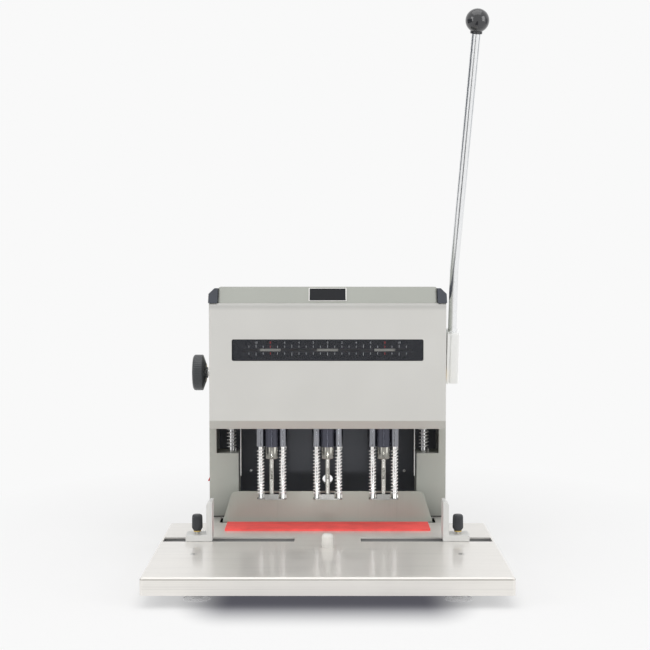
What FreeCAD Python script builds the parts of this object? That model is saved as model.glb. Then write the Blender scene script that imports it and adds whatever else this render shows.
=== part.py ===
import FreeCAD, Part
import Sketcher
import math
import os
import re

# Three-spindle bench paper drill with a pull-down lever.
# Millimetres. X runs to the right, Y from the operator to the back, Z up from the desk.
# The origin is on the desk, under the middle of the machine.

Vector = FreeCAD.Vector

# Driving dimensions
SIZES = {
    # table, rear deck and feet
    "total_deep": 550, "table_wide": 454, "table_deep": 335, "table_tall": 22.3, "stand_tall": 15.7,
    "sheet": 2, "table_corner": 4, "tray": 2, "foot_radius": 17.5, "foot_top_radius": 16.7, "foot_thick": 1.5,
    "foot_stud_radius": 8.2, "foot_inset_side": 11.8, "rear_foot_inset_side": 20,
    "foot_inset_front": 48.5, "foot_inset_back": 40, "table_fold": 3.5,
    "table_screw_radius": 4.5, "table_screw_deep": 1.6, "table_screw_inset": 53.4, "table_screw_back": 130.5,
    "slot_back": 221.5, "slot_wide": 27, "slot_inner": 45, "slot_margin": 4,
    "rail_wall": 3, "rail_deep": 12, "mat_wide": 288.4, "mat_front": 279, "mat_back": 331, "mat_thick": 3,
    "stop_radius": 7.75, "stop_tall": 18.4, "stop_round": 5, "stop_back": 173, "stop_stud_radius": 3,
    "stop_stud_deep": 10,
    # side guides
    "guide_inset": 71, "guide_upright": 7.8, "guide_tall": 53.8, "guide_chamfer": 4, "guide_block_wide": 28,
    "guide_block_tall": 8.3, "guide_deep": 31, "guide_neck_wide": 26, "guide_neck_long": 22,
    "clamp_plate_long": 26, "clamp_plate_tall": 3, "thumb_offset": 13.5, "thumb_radius": 7.3,
    "thumb_foot_radius": 4.8, "thumb_start": 12.3, "thumb_tall": 22.1, "thumb_taper": 3.4, "thumb_round": 2,
    "thumb_stud_radius": 3,
    # back fence
    "fence_front": 343, "fence_thick": 2.5, "fence_tall": 45, "fence_half_base": 152,
    "fence_half_top": 137.5,
    "fence_round": 9, "fence_slot_outside": 4, "fence_slot_start": 339,
    "fence_slot_end": 380, "fence_arm_deep": 6, "fence_arm_tall": 5, "fence_tongue_deep": 9,
    "fence_tongue_wide": 6, "fence_tongue_inset": 0.5,
    # side frames and covers
    "frame_wide": 347.6, "frame_front": 381, "frame_sheet": 3, "frame_top": 357.5, "flange_wide": 10.6,
    "post_wide": 43, "post_top": 133, "post_deep": 45, "head_wide": 331.4, "head_front": 284,
    "head_low": 180,
    "lip_tall": 12.4, "lip_deep": 10.5, "lip_return": 24, "head_flange": 9, "head_roll": 5,
    "head_corner": 1.5,
    "window_wide": 268, "window_low": 276.6, "window_high": 306.9, "window_round": 2.5, "pane_thick": 1.4,
    "scale_margin": 5, "scale_thick": 1.5, "scale_slot_inset": 16, "scale_slot_tall": 4,
    "top_rise": 22.5, "top_lean": 14, "top_fall": 8, "top_inset": 3.5, "top_round": 4,
    "cap_drop": 2, "cap_wide": 12.9, "cap_overhang": 1.1, "cap_chamfer": 8,
    "nameplate_wide": 53, "nameplate_tall": 21, "nameplate_thick": 1.2,
    "rear_sheet": 2, "inner_panel_gap": 15, "inner_panel_sheet": 1.5, "inner_panel_top": 205,
    "cable_hole_radius": 8.25, "cable_hole_up": 31, "vent_long": 70, "vent_tall": 4, "vent_step": 10,
    "vent_side": 75, "vent_low": 286, "rear_screw_radius": 3.5, "rear_screw_tall": 1.8,
    "rear_screw_inset": 9,
    "inlet_side": 110, "inlet_up": 45, "inlet_wide": 28, "inlet_tall": 21, "inlet_deep": 15, "inlet_rim": 3,
    "supply_side": 70, "supply_wide": 84, "supply_deep": 36, "supply_tall": 30, "supply_lug": 12,
    "supply_lug_thick": 2, "supply_screw_radius": 2,
    "inlet_rim_thick": 2, "inlet_wall": 2.5, "inlet_pin_radius": 1.2, "inlet_pin_long": 9,
    "inlet_pin_side": 6.5,
    # columns, return springs and lever shaft
    "column_side": 142.6, "column_back": 401, "column_radius": 4.5, "column_top_gap": 0.5,
    "return_wire_radius": 0.7, "return_coil_radius": 6.5,
    "shaft_back": 428, "shaft_up": 248, "shaft_radius": 8, "bush_radius": 13, "bush_flange_radius": 17,
    "bush_flange": 4, "bush_washer_radius": 16, "bush_washer": 3, "tooth_module": 2.5, "gear_wide": 16,
    "tooth_play": 0.5, "gear_hub_radius": 14, "gear_hub_long": 8, "stroke": 33.6,
    # lever
    "lever_lean_degrees": 16.75, "hub_gap": 3.7, "hub_plate": 3.6, "hub_groove": 0.5, "hub_block": 14,
    "hub_deep": 24, "hub_groove_deep": 2, "hub_below": 14, "hub_long": 80, "rod_radius": 6.4,
    "rod_start": 30,
    "rod_inset": 7.5, "rod_bend_up": 164, "rod_bend_radius": 60, "rod_end_up": 508, "rod_end_side": 20.1,
    "ball_radius": 16.4, "ball_up": 520.6, "ball_neck_radius": 8.4, "ball_neck_low": 5,
    # carriage
    "end_plate_inner": 118, "end_plate": 10, "end_plate_front": 340, "end_leg": 1.5, "end_leg_front": 374,
    "carriage_low": 175,
    "end_leg_low": 100, "carriage_high": 268, "carriage_back": 390, "back_plate": 8, "block_low": 215,
    "block_high": 245, "block_outer": 157, "block_back": 417, "block_overlap": 2, "bushing_wall": 4,
    "bushing_proud": 2, "rack_low": 200, "rack_high": 296, "rack_teeth_below": 1, "rack_teeth_above": 6,
    "slide_rail_radius": 5, "slide_rail_back": 355, "slide_rail_low": 184, "slide_rail_high": 206,
    "screw_radius": 5, "screw_back": 370, "screw_up": 253,
    # pitch knob
    "knob_radius": 26, "knob_gap": 0.7, "knob_hub_radius": 8, "knob_hub": 2, "knob_cone": 5,
    "knob_neck_radius": 12.5, "knob_wide": 14.2, "knob_round": 4, "knob_slot_wide": 14,
    "knob_slot_margin": 8,
    # drill units
    "pitch": 80, "spindle_back": 325, "core_radius": 10.4, "sleeve_radius": 6, "unit_split": 336,
    "unit_back": 376,
    "unit_low": 151, "unit_high": 232, "slider_low": 158, "slider_high": 215, "nut_half": 9, "nut_wide": 18,
    "nut_high": 266, "motor_radius": 15, "motor_tall": 66, "motor_cap": 6, "motor_cap_radius": 12,
    "motor_bore_deep": 12, "rotor_radius": 2.5, "spindle_radius": 8, "chuck_radius": 9.25,
    "chuck_low": 133.5,
    "bit_radius": 3.3, "bit_bore_radius": 2.2, "bit_shank_radius": 4.8, "bit_shank": 14, "bit_bore_extra": 8,
    "bit_slot_low": 104, "bit_slot_tall": 16, "bit_slot_wide": 3,
    "pointer_gap": 0.8, "pointer_thick": 3, "pointer_wide": 8, "pointer_foot": 4.5, "pointer_bar_wide": 30,
    "pointer_bar": 3.4,
    # presser feet
    "foot_low": 75, "shoe_wide": 42, "shoe_deep": 13, "shoe_thick": 1.6, "shoe_corner": 4,
    "shoe_block_wide": 20,
    "shoe_block_tall": 6.2, "shoe_bore_radius": 4.2, "rod_pitch": 31.4, "guide_rod_radius": 3.3,
    "guide_rod_collar_radius": 4.4, "guide_rod_collar": 4, "collar_seat": 162, "foot_wire_radius": 0.75,
    "foot_coil_radius": 4.5,
    # mains switch
    "switch_back": 420, "switch_up": 92.5, "switch_bezel_deep": 17, "switch_bezel_tall": 23,
    "switch_bezel": 2,
    "rocker_gap": 2, "switch_box_deep": 14, "switch_rocker_deep": 11, "switch_rocker_tall": 13,
    "switch_wall": 1.4, "switch_inside": 15, "rocker_proud": 5.5, "rocker_flat": 0.6, "rocker_root": 6,
    # clearances
    "run_gap": 0.05, "rest_gap": 0.3, "fit_gap": 0.2, "free_gap": 0.8,
}
RETURN_CURLS = 14
FOOT_CURLS = 14
GEAR_TEETH = 22
PRESSURE_ANGLE = math.radians(20)
DEDENDUM_SHARE = 1.25
VENT_COUNT = 6
FLANK_POINTS = 4
POLY_SHARES = (0, 0.25, 0.5, 0.75, 1)

# Places that follow from the driving dimensions
PLACES = {
    "front_y": "-total_deep / 2",
    "back_y": "total_deep / 2 - inlet_rim_thick",
    "table_back_y": "front_y + table_deep",
    "half_table": "table_wide / 2",
    "table_screw_side": "half_table - table_screw_inset",
    "guide_face": "half_table - guide_inset",
    "slot_outer": "half_table - slot_margin",
    "half_frame": "frame_wide / 2",
    "half_head": "head_wide / 2",
    "top_z": "stand_tall + table_tall",
    "sheet_low_z": "top_z - sheet",
    "tray_z": "stand_tall + tray",
    "slot_y": "front_y + slot_back",
    "mat_top_z": "top_z + mat_thick",
    "stop_y": "front_y + stop_back",
    "guide_y": "slot_y - guide_deep / 2",
    "guide_z": "top_z + rest_gap",
    "thumb_x": "guide_face + guide_upright + thumb_offset",
    "clamp_top_z": "sheet_low_z - rest_gap",
    "stud_end_z": "clamp_top_z - clamp_plate_tall - fit_gap",
    "fence_y": "front_y + fence_front",
    "fence_back_y": "fence_y + fence_thick",
    "fence_tongue_out": "fence_half_base - fence_tongue_inset",
    "fence_tongue_in": "fence_tongue_out - fence_tongue_wide",
    "frame_y": "front_y + frame_front",
    "frame_in_y": "frame_y + frame_sheet",
    "frame_inner": "half_frame - frame_sheet",
    "head_y": "front_y + head_front",
    "head_in_y": "head_y + sheet",
    "cover_top_z": "frame_top + top_rise",
    "cover_back_z": "cover_top_z - top_fall",
    "cover_y": "head_y + top_inset",
    "cover_flat_y": "cover_y + top_lean",
    "half_top": "half_head + cap_overhang - cap_wide",
    "window_mid_z": "(window_low + window_high) / 2",
    "rear_y": "back_y - rear_sheet",
    "inner_panel_y": "rear_y - inner_panel_gap",
    "hole_z": "top_z + cable_hole_up",
    "inlet_z": "top_z + inlet_up",
    "column_y": "front_y + column_back",
    "column_top_z": "frame_top - frame_sheet",
    "shaft_y": "front_y + shaft_back",
    "gear_radius": "tooth_module * gear_teeth / 2",
    "rack_pitch_y": "shaft_y - gear_radius",
    "hub_x": "half_frame + hub_gap",
    "hub_block_x": "hub_x + hub_plate + hub_groove",
    "hub_end_x": "hub_block_x + hub_block",
    "rod_x": "hub_x + rod_inset",
    "end_y": "front_y + end_plate_front",
    "leg_y": "front_y + end_leg_front",
    "carriage_y": "front_y + carriage_back",
    "plate_y": "carriage_y - back_plate",
    "end_outer": "end_plate_inner + end_plate",
    "block_y": "front_y + block_back",
    "bushing_radius": "column_radius + run_gap + bushing_wall",
    "bushing_low_z": "block_low - bushing_proud",
    "slide_y": "front_y + slide_rail_back",
    "screw_y": "front_y + screw_back",
    "knob_x": "half_frame + knob_gap",
    "spindle_y": "front_y + spindle_back",
    "unit_half": "rod_pitch / 2 + sleeve_radius",
    "unit_split_y": "front_y + unit_split",
    "unit_back_y": "front_y + unit_back",
    "pointer_y": "head_in_y + scale_thick + pointer_gap",
    "pointer_foot_low": "unit_high - pointer_foot",
    "shoe_top_z": "foot_low + shoe_thick",
    "switch_y": "front_y + switch_back",
}

document = FreeCAD.newDocument("paper_drill")
sheet = document.addObject("Spreadsheet::Sheet", "dims")
nodes = []


def fill_sheet():
    for row, (alias, number) in enumerate(list(SIZES.items()) + [("gear_teeth", GEAR_TEETH)], start=1):
        sheet.set(f"A{row}", alias)
        sheet.set(f"B{row}", str(number))
        sheet.setAlias(f"B{row}", alias)
    document.recompute()


def expand(words):
    """Turn an expression in plain words into one that reads the sheet."""
    def swap(match):
        word = match.group(0)
        if word in PLACES:
            return "(" + expand(PLACES[word]) + ")"
        if word in SIZES or word == "gear_teeth":
            return "dims." + word
        return word
    return re.sub(r"[a-z][a-z_]*", swap, str(words))


def size(words):
    """The number that an expression in plain words gives, for shapes built in code."""
    reader = {alias: float(number) for alias, number in SIZES.items()}
    reader["gear_teeth"] = float(GEAR_TEETH)
    return work_out(words, reader)


def work_out(words, reader):
    """Work out sums, products and brackets of named sizes."""
    tokens = re.findall(r"[a-z][a-z_]*|[0-9.]+|[-+*/()]", str(words))

    def atom():
        token = tokens.pop(0)
        if token == "-":
            return -atom()
        if token == "(":
            inner = total()
            tokens.pop(0)
            return inner
        if token in PLACES:
            return work_out(PLACES[token], reader)
        if token in reader:
            return reader[token]
        return float(token)

    def product():
        value = atom()
        while tokens and tokens[0] in "*/":
            sign = tokens.pop(0)
            value = value * atom() if sign == "*" else value / atom()
        return value

    def total():
        value = product()
        while tokens and tokens[0] in "+-":
            sign = tokens.pop(0)
            value = value + product() if sign == "+" else value - product()
        return value

    return total()


def bind(item, **expressions):
    for key, words in expressions.items():
        item.setExpression(key.replace("__", "."), expand(words))
    return item


def place(item, x, y, z):
    return bind(item, Placement__Base__x=x, Placement__Base__y=y, Placement__Base__z=z)


def box(label, x0, x1, y0, y1, z0, z1):
    item = document.addObject("Part::Box", label)
    bind(item, Length=f"({x1}) - ({x0})", Width=f"({y1}) - ({y0})", Height=f"({z1}) - ({z0})")
    return place(item, x0, y0, z0)


def side_box(label, side, x0, x1, y0, y1, z0, z1):
    """A box given for the right-hand side, or its mirror image on the left."""
    if side > 0:
        return box(label, x0, x1, y0, y1, z0, z1)
    return box(label, f"-({x1})", f"-({x0})", y0, y1, z0, z1)


TURNS = {
    "x": FreeCAD.Rotation(Vector(0, 1, 0), 90),
    "y": FreeCAD.Rotation(Vector(1, 0, 0), -90),
    "z": FreeCAD.Rotation(),
}


def along(item, axis, a, b, start):
    """Stand a round solid on its axis: a and b are its other two coordinates, in X, Y, Z order."""
    item.Placement = FreeCAD.Placement(Vector(), TURNS[axis])
    spots = {"x": (start, a, b), "y": (a, start, b), "z": (a, b, start)}[axis]
    return place(item, *spots)


def rod(label, axis, radius, a, b, start, end):
    item = document.addObject("Part::Cylinder", label)
    bind(item, Radius=radius, Height=f"({end}) - ({start})")
    return along(item, axis, a, b, start)


def taper(label, axis, radius_start, radius_end, a, b, start, end):
    item = document.addObject("Part::Cone", label)
    bind(item, Radius1=radius_start, Radius2=radius_end, Height=f"({end}) - ({start})")
    return along(item, axis, a, b, start)


def ball(label, radius, x, y, z):
    item = document.addObject("Part::Sphere", label)
    bind(item, Radius=radius)
    return place(item, x, y, z)


def fuse(label, *pieces):
    item = document.addObject("Part::MultiFuse", label)
    item.Shapes = list(pieces)
    item.Refine = True
    return item


def cut(label, base, *tools):
    item = document.addObject("Part::Cut", label)
    item.Base = base
    item.Tool = tools[0] if len(tools) == 1 else fuse(label + "_tools", *tools)
    return item


def group(label, *pieces):
    item = document.addObject("Part::Compound", label)
    item.Links = list(pieces)
    return item


def round_edges(label, base, radius, chosen, kind="Part::Fillet"):
    """Fillet or chamfer the edges of base that the test picks."""
    document.recompute()
    item = document.addObject(kind, label)
    item.Base = base
    reach = size(radius)
    item.Edges = [(number, reach, reach)
                  for number, edge in enumerate(base.Shape.Edges, start=1) if chosen(edge)]
    return item


def runs(edge, axis):
    """True for a straight edge along an axis."""
    if edge.Curve.TypeId != "Part::GeomLine":
        return False
    return abs(getattr(edge.tangentAt(edge.FirstParameter), axis)) > math.cos(math.radians(1))


def middle(edge):
    return edge.valueAt((edge.FirstParameter + edge.LastParameter) / 2)


def near(value, words):
    return abs(value - size(words)) < size("run_gap")


PLANE_NORMALS = {"XY_Plane": 1, "XZ_Plane": -1, "YZ_Plane": 1}


def outline_body(label, plane, points, start, length):
    """A PartDesign body: one closed outline, each corner tied to the sheet, and one pad."""
    body = document.addObject("PartDesign::Body", label)
    sketch = body.newObject("Sketcher::SketchObject", label + "_outline")
    origin_plane = next(item for item in body.Origin.OriginFeatures if item.Role == plane)
    sketch.AttachmentSupport = [(origin_plane, "")]
    sketch.MapMode = "FlatFace"
    sketch.setExpression("AttachmentOffset.Base.z", expand(f"{PLANE_NORMALS[plane]} * ({start})"))
    corners = [(size(across), size(up)) for across, up in points]
    for number, corner in enumerate(corners):
        following = corners[(number + 1) % len(corners)]
        sketch.addGeometry(Part.LineSegment(Vector(*corner, 0), Vector(*following, 0)), False)
    for number in range(len(corners)):
        sketch.addConstraint(Sketcher.Constraint("Coincident", number, 2, (number + 1) % len(corners), 1))
    for number, (across, up) in enumerate(points):
        for kind, words, value in (("DistanceX", across, corners[number][0]),
                                   ("DistanceY", up, corners[number][1])):
            row = sketch.addConstraint(Sketcher.Constraint(kind, -1, 1, number, 1, value))
            sketch.setExpression(f"Constraints[{row}]", expand(words))
    pad = body.newObject("PartDesign::Pad", label + "_pad")
    pad.Profile = sketch
    bind(pad, Length=length)
    pad.Reversed = PLANE_NORMALS[plane] < 0
    return body


def node(item, label):
    item.Label = label
    nodes.append(item)
    return item


# Table, deck, feet and what lies on them

def make_table():
    outer = box("table_block", "-half_table", "half_table", "front_y", "table_back_y", "stand_tall", "top_z")
    soft = round_edges("table_rounded", outer, "table_corner",
                       lambda edge: runs(edge, "z") and near(middle(edge).y, "front_y"))
    folded = round_edges("table_folded", soft, "table_fold",
                         lambda edge: near(edge.BoundBox.ZMin, "top_z")
                         and not near(middle(edge).y, "table_back_y"))
    hollow = box("table_hollow", "-half_table + sheet", "half_table - sheet", "front_y + sheet",
                 "table_back_y - sheet", "stand_tall - sheet", "sheet_low_z")
    passage = box("table_passage", "-frame_inner", "frame_inner", "table_back_y - sheet - fit_gap",
                  "table_back_y + sheet", "stand_tall - sheet", "sheet_low_z")
    tools = [hollow, passage]
    for side in (-1, 1):
        tools.append(side_box("guide_slot", side, "slot_inner", "slot_outer", "slot_y - slot_wide / 2",
                              "slot_y + slot_wide / 2", "sheet_low_z - sheet", "top_z + sheet"))
        tools.append(rod("table_screw_hole", "z", "table_screw_radius", f"{side} * table_screw_side",
                         "front_y + table_screw_back", "sheet_low_z - sheet", "top_z + sheet"))
    tools.append(rod("stop_hole", "z", "stop_stud_radius", "0", "stop_y", "sheet_low_z - sheet",
                     "top_z + sheet"))
    node(cut("table", folded, *tools), "table_top")


def make_deck():
    outer = box("deck_block", "-half_frame", "half_frame", "table_back_y", "back_y", "stand_tall", "top_z")
    hollow = box("deck_hollow", "-frame_inner", "frame_inner", "table_back_y - sheet", "back_y - sheet",
                 "stand_tall - sheet", "sheet_low_z")
    slots = [side_box("fence_slot", side, "fence_tongue_in - free_gap",
                      "fence_half_base + fence_slot_outside", "front_y + fence_slot_start",
                      "front_y + fence_slot_end", "sheet_low_z - sheet", "top_z + sheet")
             for side in (-1, 1)]
    node(cut("deck", outer, hollow, *slots), "rear_deck")


def make_tray():
    wide = box("tray_front", "-half_table + sheet", "half_table - sheet", "front_y + table_corner",
               "table_back_y - sheet", "stand_tall", "tray_z")
    narrow = box("tray_back", "-frame_inner", "frame_inner", "table_back_y - sheet", "back_y - sheet",
                 "stand_tall", "tray_z")
    node(fuse("tray", wide, narrow), "base_tray")


def make_feet():
    feet, studs = [], []
    for side in (-1, 1):
        for inset, y in (("foot_inset_side", "front_y + foot_inset_front"),
                         ("rear_foot_inset_side", "back_y - foot_inset_back")):
            x = f"{side} * (half_frame - {inset})"
            feet.append(taper("foot", "z", "foot_radius", "foot_top_radius", x, y, "0", "foot_thick"))
            studs.append(rod("foot_stud", "z", "foot_stud_radius", x, y, "foot_thick", "stand_tall"))
    node(group("feet", *feet), "rubber_feet")
    node(group("stud_set", *studs), "foot_studs")


def make_table_screws():
    screws = []
    for side in (-1, 1):
        x = f"{side} * table_screw_side"
        y = "front_y + table_screw_back"
        head = rod("screw_head", "z", "table_screw_radius", x, y, "top_z - table_screw_deep", "top_z")
        shank = rod("screw_shank", "z", "table_screw_radius / 2", x, y, "tray_z", "top_z - table_screw_deep")
        recess = rod("screw_recess", "z", "table_screw_radius / 3", x, y, "top_z - table_screw_deep / 2",
                     "top_z + sheet")
        screws.append(cut("screw", fuse("screw_body", head, shank), recess))
    node(group("table_screw_pair", *screws), "table_screws")


def make_mat():
    node(box("mat", "-mat_wide / 2", "mat_wide / 2", "front_y + mat_front", "front_y + mat_back", "top_z",
             "mat_top_z"), "drilling_mat")


def make_centre_stop():
    post = rod("stop_post", "z", "stop_radius", "0", "stop_y", "top_z", "top_z + stop_tall")
    soft = round_edges("stop_rounded", post, "stop_round",
                       lambda edge: near(edge.BoundBox.ZMin, "top_z + stop_tall"))
    stud = rod("stop_stud", "z", "stop_stud_radius - fit_gap", "0", "stop_y", "top_z - stop_stud_deep",
               "top_z")
    nut = rod("stop_nut", "z", "stop_stud_radius * 2", "0", "stop_y", "top_z - stop_stud_deep",
              "sheet_low_z")
    node(fuse("stop", soft, stud, nut), "centre_stop")


def make_guide_rails():
    rails = []
    for side in (-1, 1):
        outer = side_box("rail_block", side, "slot_inner - rail_wall", "half_table - sheet",
                         "slot_y - guide_deep / 2 - rail_wall", "slot_y + guide_deep / 2 + rail_wall",
                         "sheet_low_z - rail_deep", "sheet_low_z")
        channel = side_box("rail_channel", side, "slot_inner - free_gap", "slot_outer + free_gap",
                           "slot_y - guide_deep / 2", "slot_y + guide_deep / 2",
                           "sheet_low_z - rail_deep + sheet", "top_z")
        rails.append(cut("rail", outer, channel))
    node(group("rail_pair", *rails), "guide_rails")


# Side guides with their thumb screws

def make_guide(side, name):
    def across(words):
        return words if side > 0 else f"-({words})"
    points = [
        (across("guide_face"), "guide_z"),
        (across("guide_face + guide_upright + guide_block_wide"), "guide_z"),
        (across("guide_face + guide_upright + guide_block_wide"), "guide_z + guide_block_tall"),
        (across("guide_face + guide_upright"), "guide_z + guide_block_tall"),
        (across("guide_face + guide_upright"), "guide_z + guide_tall - guide_chamfer"),
        (across("guide_face + guide_upright - guide_chamfer"), "guide_z + guide_tall"),
        (across("guide_face"), "guide_z + guide_tall"),
    ]
    angle = outline_body(f"guide_angle_{name}", "XZ_Plane", points, "guide_y", "guide_deep")
    neck = side_box("guide_neck", side, "thumb_x - guide_neck_long / 2", "thumb_x + guide_neck_long / 2",
                    "slot_y - guide_neck_wide / 2", "slot_y + guide_neck_wide / 2",
                    "sheet_low_z + rest_gap", "guide_z + fit_gap")
    hole = rod("guide_hole", "z", "thumb_stud_radius + run_gap", across("thumb_x"), "slot_y",
               "sheet_low_z - sheet", "guide_z + guide_tall")
    plate = side_box("clamp_plate", side, "thumb_x - clamp_plate_long / 2", "thumb_x + clamp_plate_long / 2",
                     "slot_y - guide_deep / 2 + free_gap", "slot_y + guide_deep / 2 - free_gap",
                     "clamp_top_z - clamp_plate_tall", "clamp_top_z")
    plate_hole = rod("clamp_hole", "z", "thumb_stud_radius + run_gap", across("thumb_x"), "slot_y",
                     "sheet_low_z - rail_deep", "top_z")
    solid = cut("guide_solid", fuse("guide_body", angle, neck), hole)
    node(group("guide", solid, cut("clamp", plate, plate_hole)), f"guide_{name}")


def make_thumb_screw(side, name):
    x = f"{side} * thumb_x"
    low = "guide_z + thumb_start"
    stud = rod("thumb_stud", "z", "thumb_stud_radius", x, "slot_y", "stud_end_z", f"{low} + thumb_taper")
    cone = taper("thumb_cone", "z", "thumb_foot_radius", "thumb_radius - free_gap / 2", x, "slot_y", low,
                 f"{low} + thumb_taper")
    knob = taper("thumb_knob", "z", "thumb_radius", "thumb_radius - free_gap", x, "slot_y",
                 f"{low} + thumb_taper", f"{low} + thumb_tall")
    soft = round_edges("thumb_rounded", knob, "thumb_round",
                       lambda edge: near(edge.BoundBox.ZMin, f"{low} + thumb_tall"))
    collar = rod("thumb_collar", "z", "thumb_stud_radius * 3 / 2", x, "slot_y",
                 "guide_z + guide_block_tall + rest_gap", low)
    node(fuse("thumb", stud, cone, soft, collar), f"thumb_screw_{name}")


# Back fence

def make_fence():
    low = "top_z + rest_gap"
    high = "top_z + fence_tall"
    points = [("-fence_half_base", low), ("fence_half_base", low), ("fence_half_top", high),
              ("-fence_half_top", high)]
    plate = outline_body("fence_plate", "XZ_Plane", points, "fence_y", "fence_thick")
    soft = round_edges("fence_rounded", plate, "fence_round",
                       lambda edge: runs(edge, "y") and near(middle(edge).z, high))
    pieces = [soft]
    for side in (-1, 1):
        pieces.append(side_box("fence_tongue", side, "fence_tongue_in", "fence_tongue_out", "fence_back_y",
                               "fence_back_y + fence_arm_deep", "top_z - fence_tongue_deep",
                               f"{low} + fence_arm_tall"))
    node(fuse("fence", *pieces), "back_fence")


# Side frames, covers and trim

def make_side_frame(side, name):
    plate = side_box("frame_side", side, "frame_inner", "half_frame", "frame_y", "back_y", "top_z",
                     "frame_top")
    flange = side_box("frame_flange", side, "half_frame - flange_wide", "frame_inner", "frame_y",
                      "frame_in_y", "post_top", "frame_top")
    post = side_box("frame_post", side, "half_frame - post_wide", "frame_inner", "frame_y", "frame_in_y",
                    "top_z", "post_top")
    seat = side_box("frame_seat", side, "half_frame - post_wide", "frame_inner", "frame_in_y",
                    "frame_y + post_deep", "post_top - frame_sheet", "post_top")
    cheek = side_box("frame_cheek", side, "half_frame - post_wide", "half_frame - post_wide + frame_sheet",
                     "frame_in_y", "frame_y + post_deep", "top_z", "post_top - frame_sheet")
    roof = side_box("frame_roof", side, "half_frame - post_wide", "frame_inner", "frame_in_y", "rear_y",
                    "column_top_z", "frame_top")
    solid = fuse("frame_solid", plate, flange, post, seat, cheek, roof)
    tools = [
        rod("frame_shaft_hole", "x", "bush_radius", "shaft_y", "shaft_up",
            f"{side} * half_frame - post_wide", f"{side} * half_frame + post_wide"),
        rod("frame_column_hole", "z", "column_radius + fit_gap", f"{side} * column_side", "column_y",
            "post_top - post_wide", "post_top + frame_sheet"),
    ]
    if side < 0:
        tools.append(side_box("switch_hole", side, "frame_inner - frame_sheet", "half_frame + frame_sheet",
                              "switch_y - switch_box_deep / 2", "switch_y + switch_box_deep / 2",
                              "switch_up - switch_bezel_tall / 2 + switch_bezel",
                              "switch_up + switch_bezel_tall / 2 - switch_bezel"))
    node(cut("frame", solid, *tools), f"side_frame_{name}")


def make_front_cover():
    fold_z = "head_low + lip_tall"
    skin = [
        ("head_y", "frame_top"), ("head_y", fold_z), ("head_y + lip_deep", "head_low"),
        ("head_y + lip_return", "head_low"), ("head_y + lip_return", "head_low + sheet"),
        ("head_y + lip_deep + sheet / 2", "head_low + sheet"), ("head_in_y", f"{fold_z} + sheet / 2"),
        ("head_in_y", "frame_top - sheet"), ("head_in_y + head_flange", "frame_top - sheet"),
        ("head_in_y + head_flange", "frame_top"),
    ]
    cheek = [("head_y", "frame_top"), ("head_y", fold_z), ("head_y + lip_deep", "head_low"),
             ("frame_y", "head_low"), ("frame_y", "frame_top")]
    blank = outline_body("head_skin", "YZ_Plane", skin, "-half_head", "head_wide")
    rolled = roll_edge("head_outer_roll", blank, "head_roll", "head_y", "frame_top")
    front = roll_edge("head_inner_roll", rolled, "head_roll - sheet", "head_in_y", "frame_top - sheet")
    cheeks = []
    for name, start in (("left", "-half_head"), ("right", "half_head - sheet")):
        side = outline_body(f"head_cheek_{name}", "YZ_Plane", cheek, start, "sheet")
        cheeks.append(roll_edge(f"head_cheek_roll_{name}", side, "head_roll", "head_y", "frame_top"))
    solid = round_edges("head_folded", fuse("head_shell", front, *cheeks), "head_corner",
                        lambda edge: near(middle(edge).y, "head_y")
                        and near(abs(middle(edge).x), "half_head")
                        and runs(edge, "z"))
    opening = box("window_opening", "-window_wide / 2", "window_wide / 2", "head_y - sheet",
                  "head_in_y + sheet", "window_low", "window_high")
    soft = round_edges("window_rounded", opening, "window_round", lambda edge: runs(edge, "y"))
    knob_slot = box("knob_slot", "-half_head - sheet", "-half_head + sheet * 2",
                    "screw_y - knob_slot_wide / 2",
                    "screw_y + knob_slot_wide / 2", "screw_up - stroke - knob_slot_margin",
                    "screw_up + knob_slot_margin")
    node(cut("head", solid, soft, knob_slot), "front_cover")


def roll_edge(label, base, radius, y, z):
    """Round the crosswise edge that passes through y and z."""
    return round_edges(label, base, radius,
                       lambda edge: runs(edge, "x") and near(middle(edge).y, y) and near(middle(edge).z, z))


def make_top_cover():
    outline = [("cover_y", "frame_top"), ("cover_flat_y", "cover_top_z"), ("back_y", "cover_back_z"),
               ("back_y", "frame_top")]
    inside = [("cover_y + sheet", "frame_top"), ("cover_flat_y + sheet / 2", "cover_top_z - sheet"),
              ("back_y", "cover_back_z - sheet"), ("back_y", "frame_top")]
    outer = outline_body("top_blank", "YZ_Plane", outline, "-half_top", "half_top * 2")
    rolled = round_edges("top_rolled", outer, "top_round",
                         lambda edge: top_edge(edge, "half_top", "cover_top_z"))
    inner = outline_body("top_inside", "YZ_Plane", inside, "-half_top + sheet", "half_top * 2 - sheet * 2")
    hollow = round_edges("top_hollow", inner, "top_round - sheet",
                         lambda edge: top_edge(edge, "half_top - sheet", "cover_top_z - sheet"))
    node(cut("top_skin", rolled, hollow), "top_cover")


def top_edge(edge, side, height):
    """True for the crosswise edge of the top, and for the sloping edges at its sides."""
    if runs(edge, "x"):
        return near(middle(edge).z, height)
    sloping = min(edge.BoundBox.YLength, edge.BoundBox.ZLength) > size("sheet")
    return sloping and near(abs(middle(edge).x), side)


def make_corner_caps():
    points = [("head_y", "frame_top"), ("head_y + top_lean", "cover_top_z - cap_drop"),
              ("back_y", "cover_back_z - cap_drop"), ("back_y", "frame_top")]
    caps = []
    for side in (-1, 1):
        start = "half_top" if side > 0 else "-half_top - cap_wide"
        blank = outline_body(f"cap_blank_{'left' if side < 0 else 'right'}", "YZ_Plane", points, start,
                             "cap_wide")
        outer = f"{side} * (half_top + cap_wide)"
        caps.append(round_edges("cap", blank, "cap_chamfer",
                                lambda edge, outer=outer: edge.BoundBox.YLength > size("top_lean * 2")
                                and edge.BoundBox.ZLength > size("sheet") and near(middle(edge).x, outer),
                                "Part::Chamfer"))
    node(group("cap_pair", *caps), "corner_caps")


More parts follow.
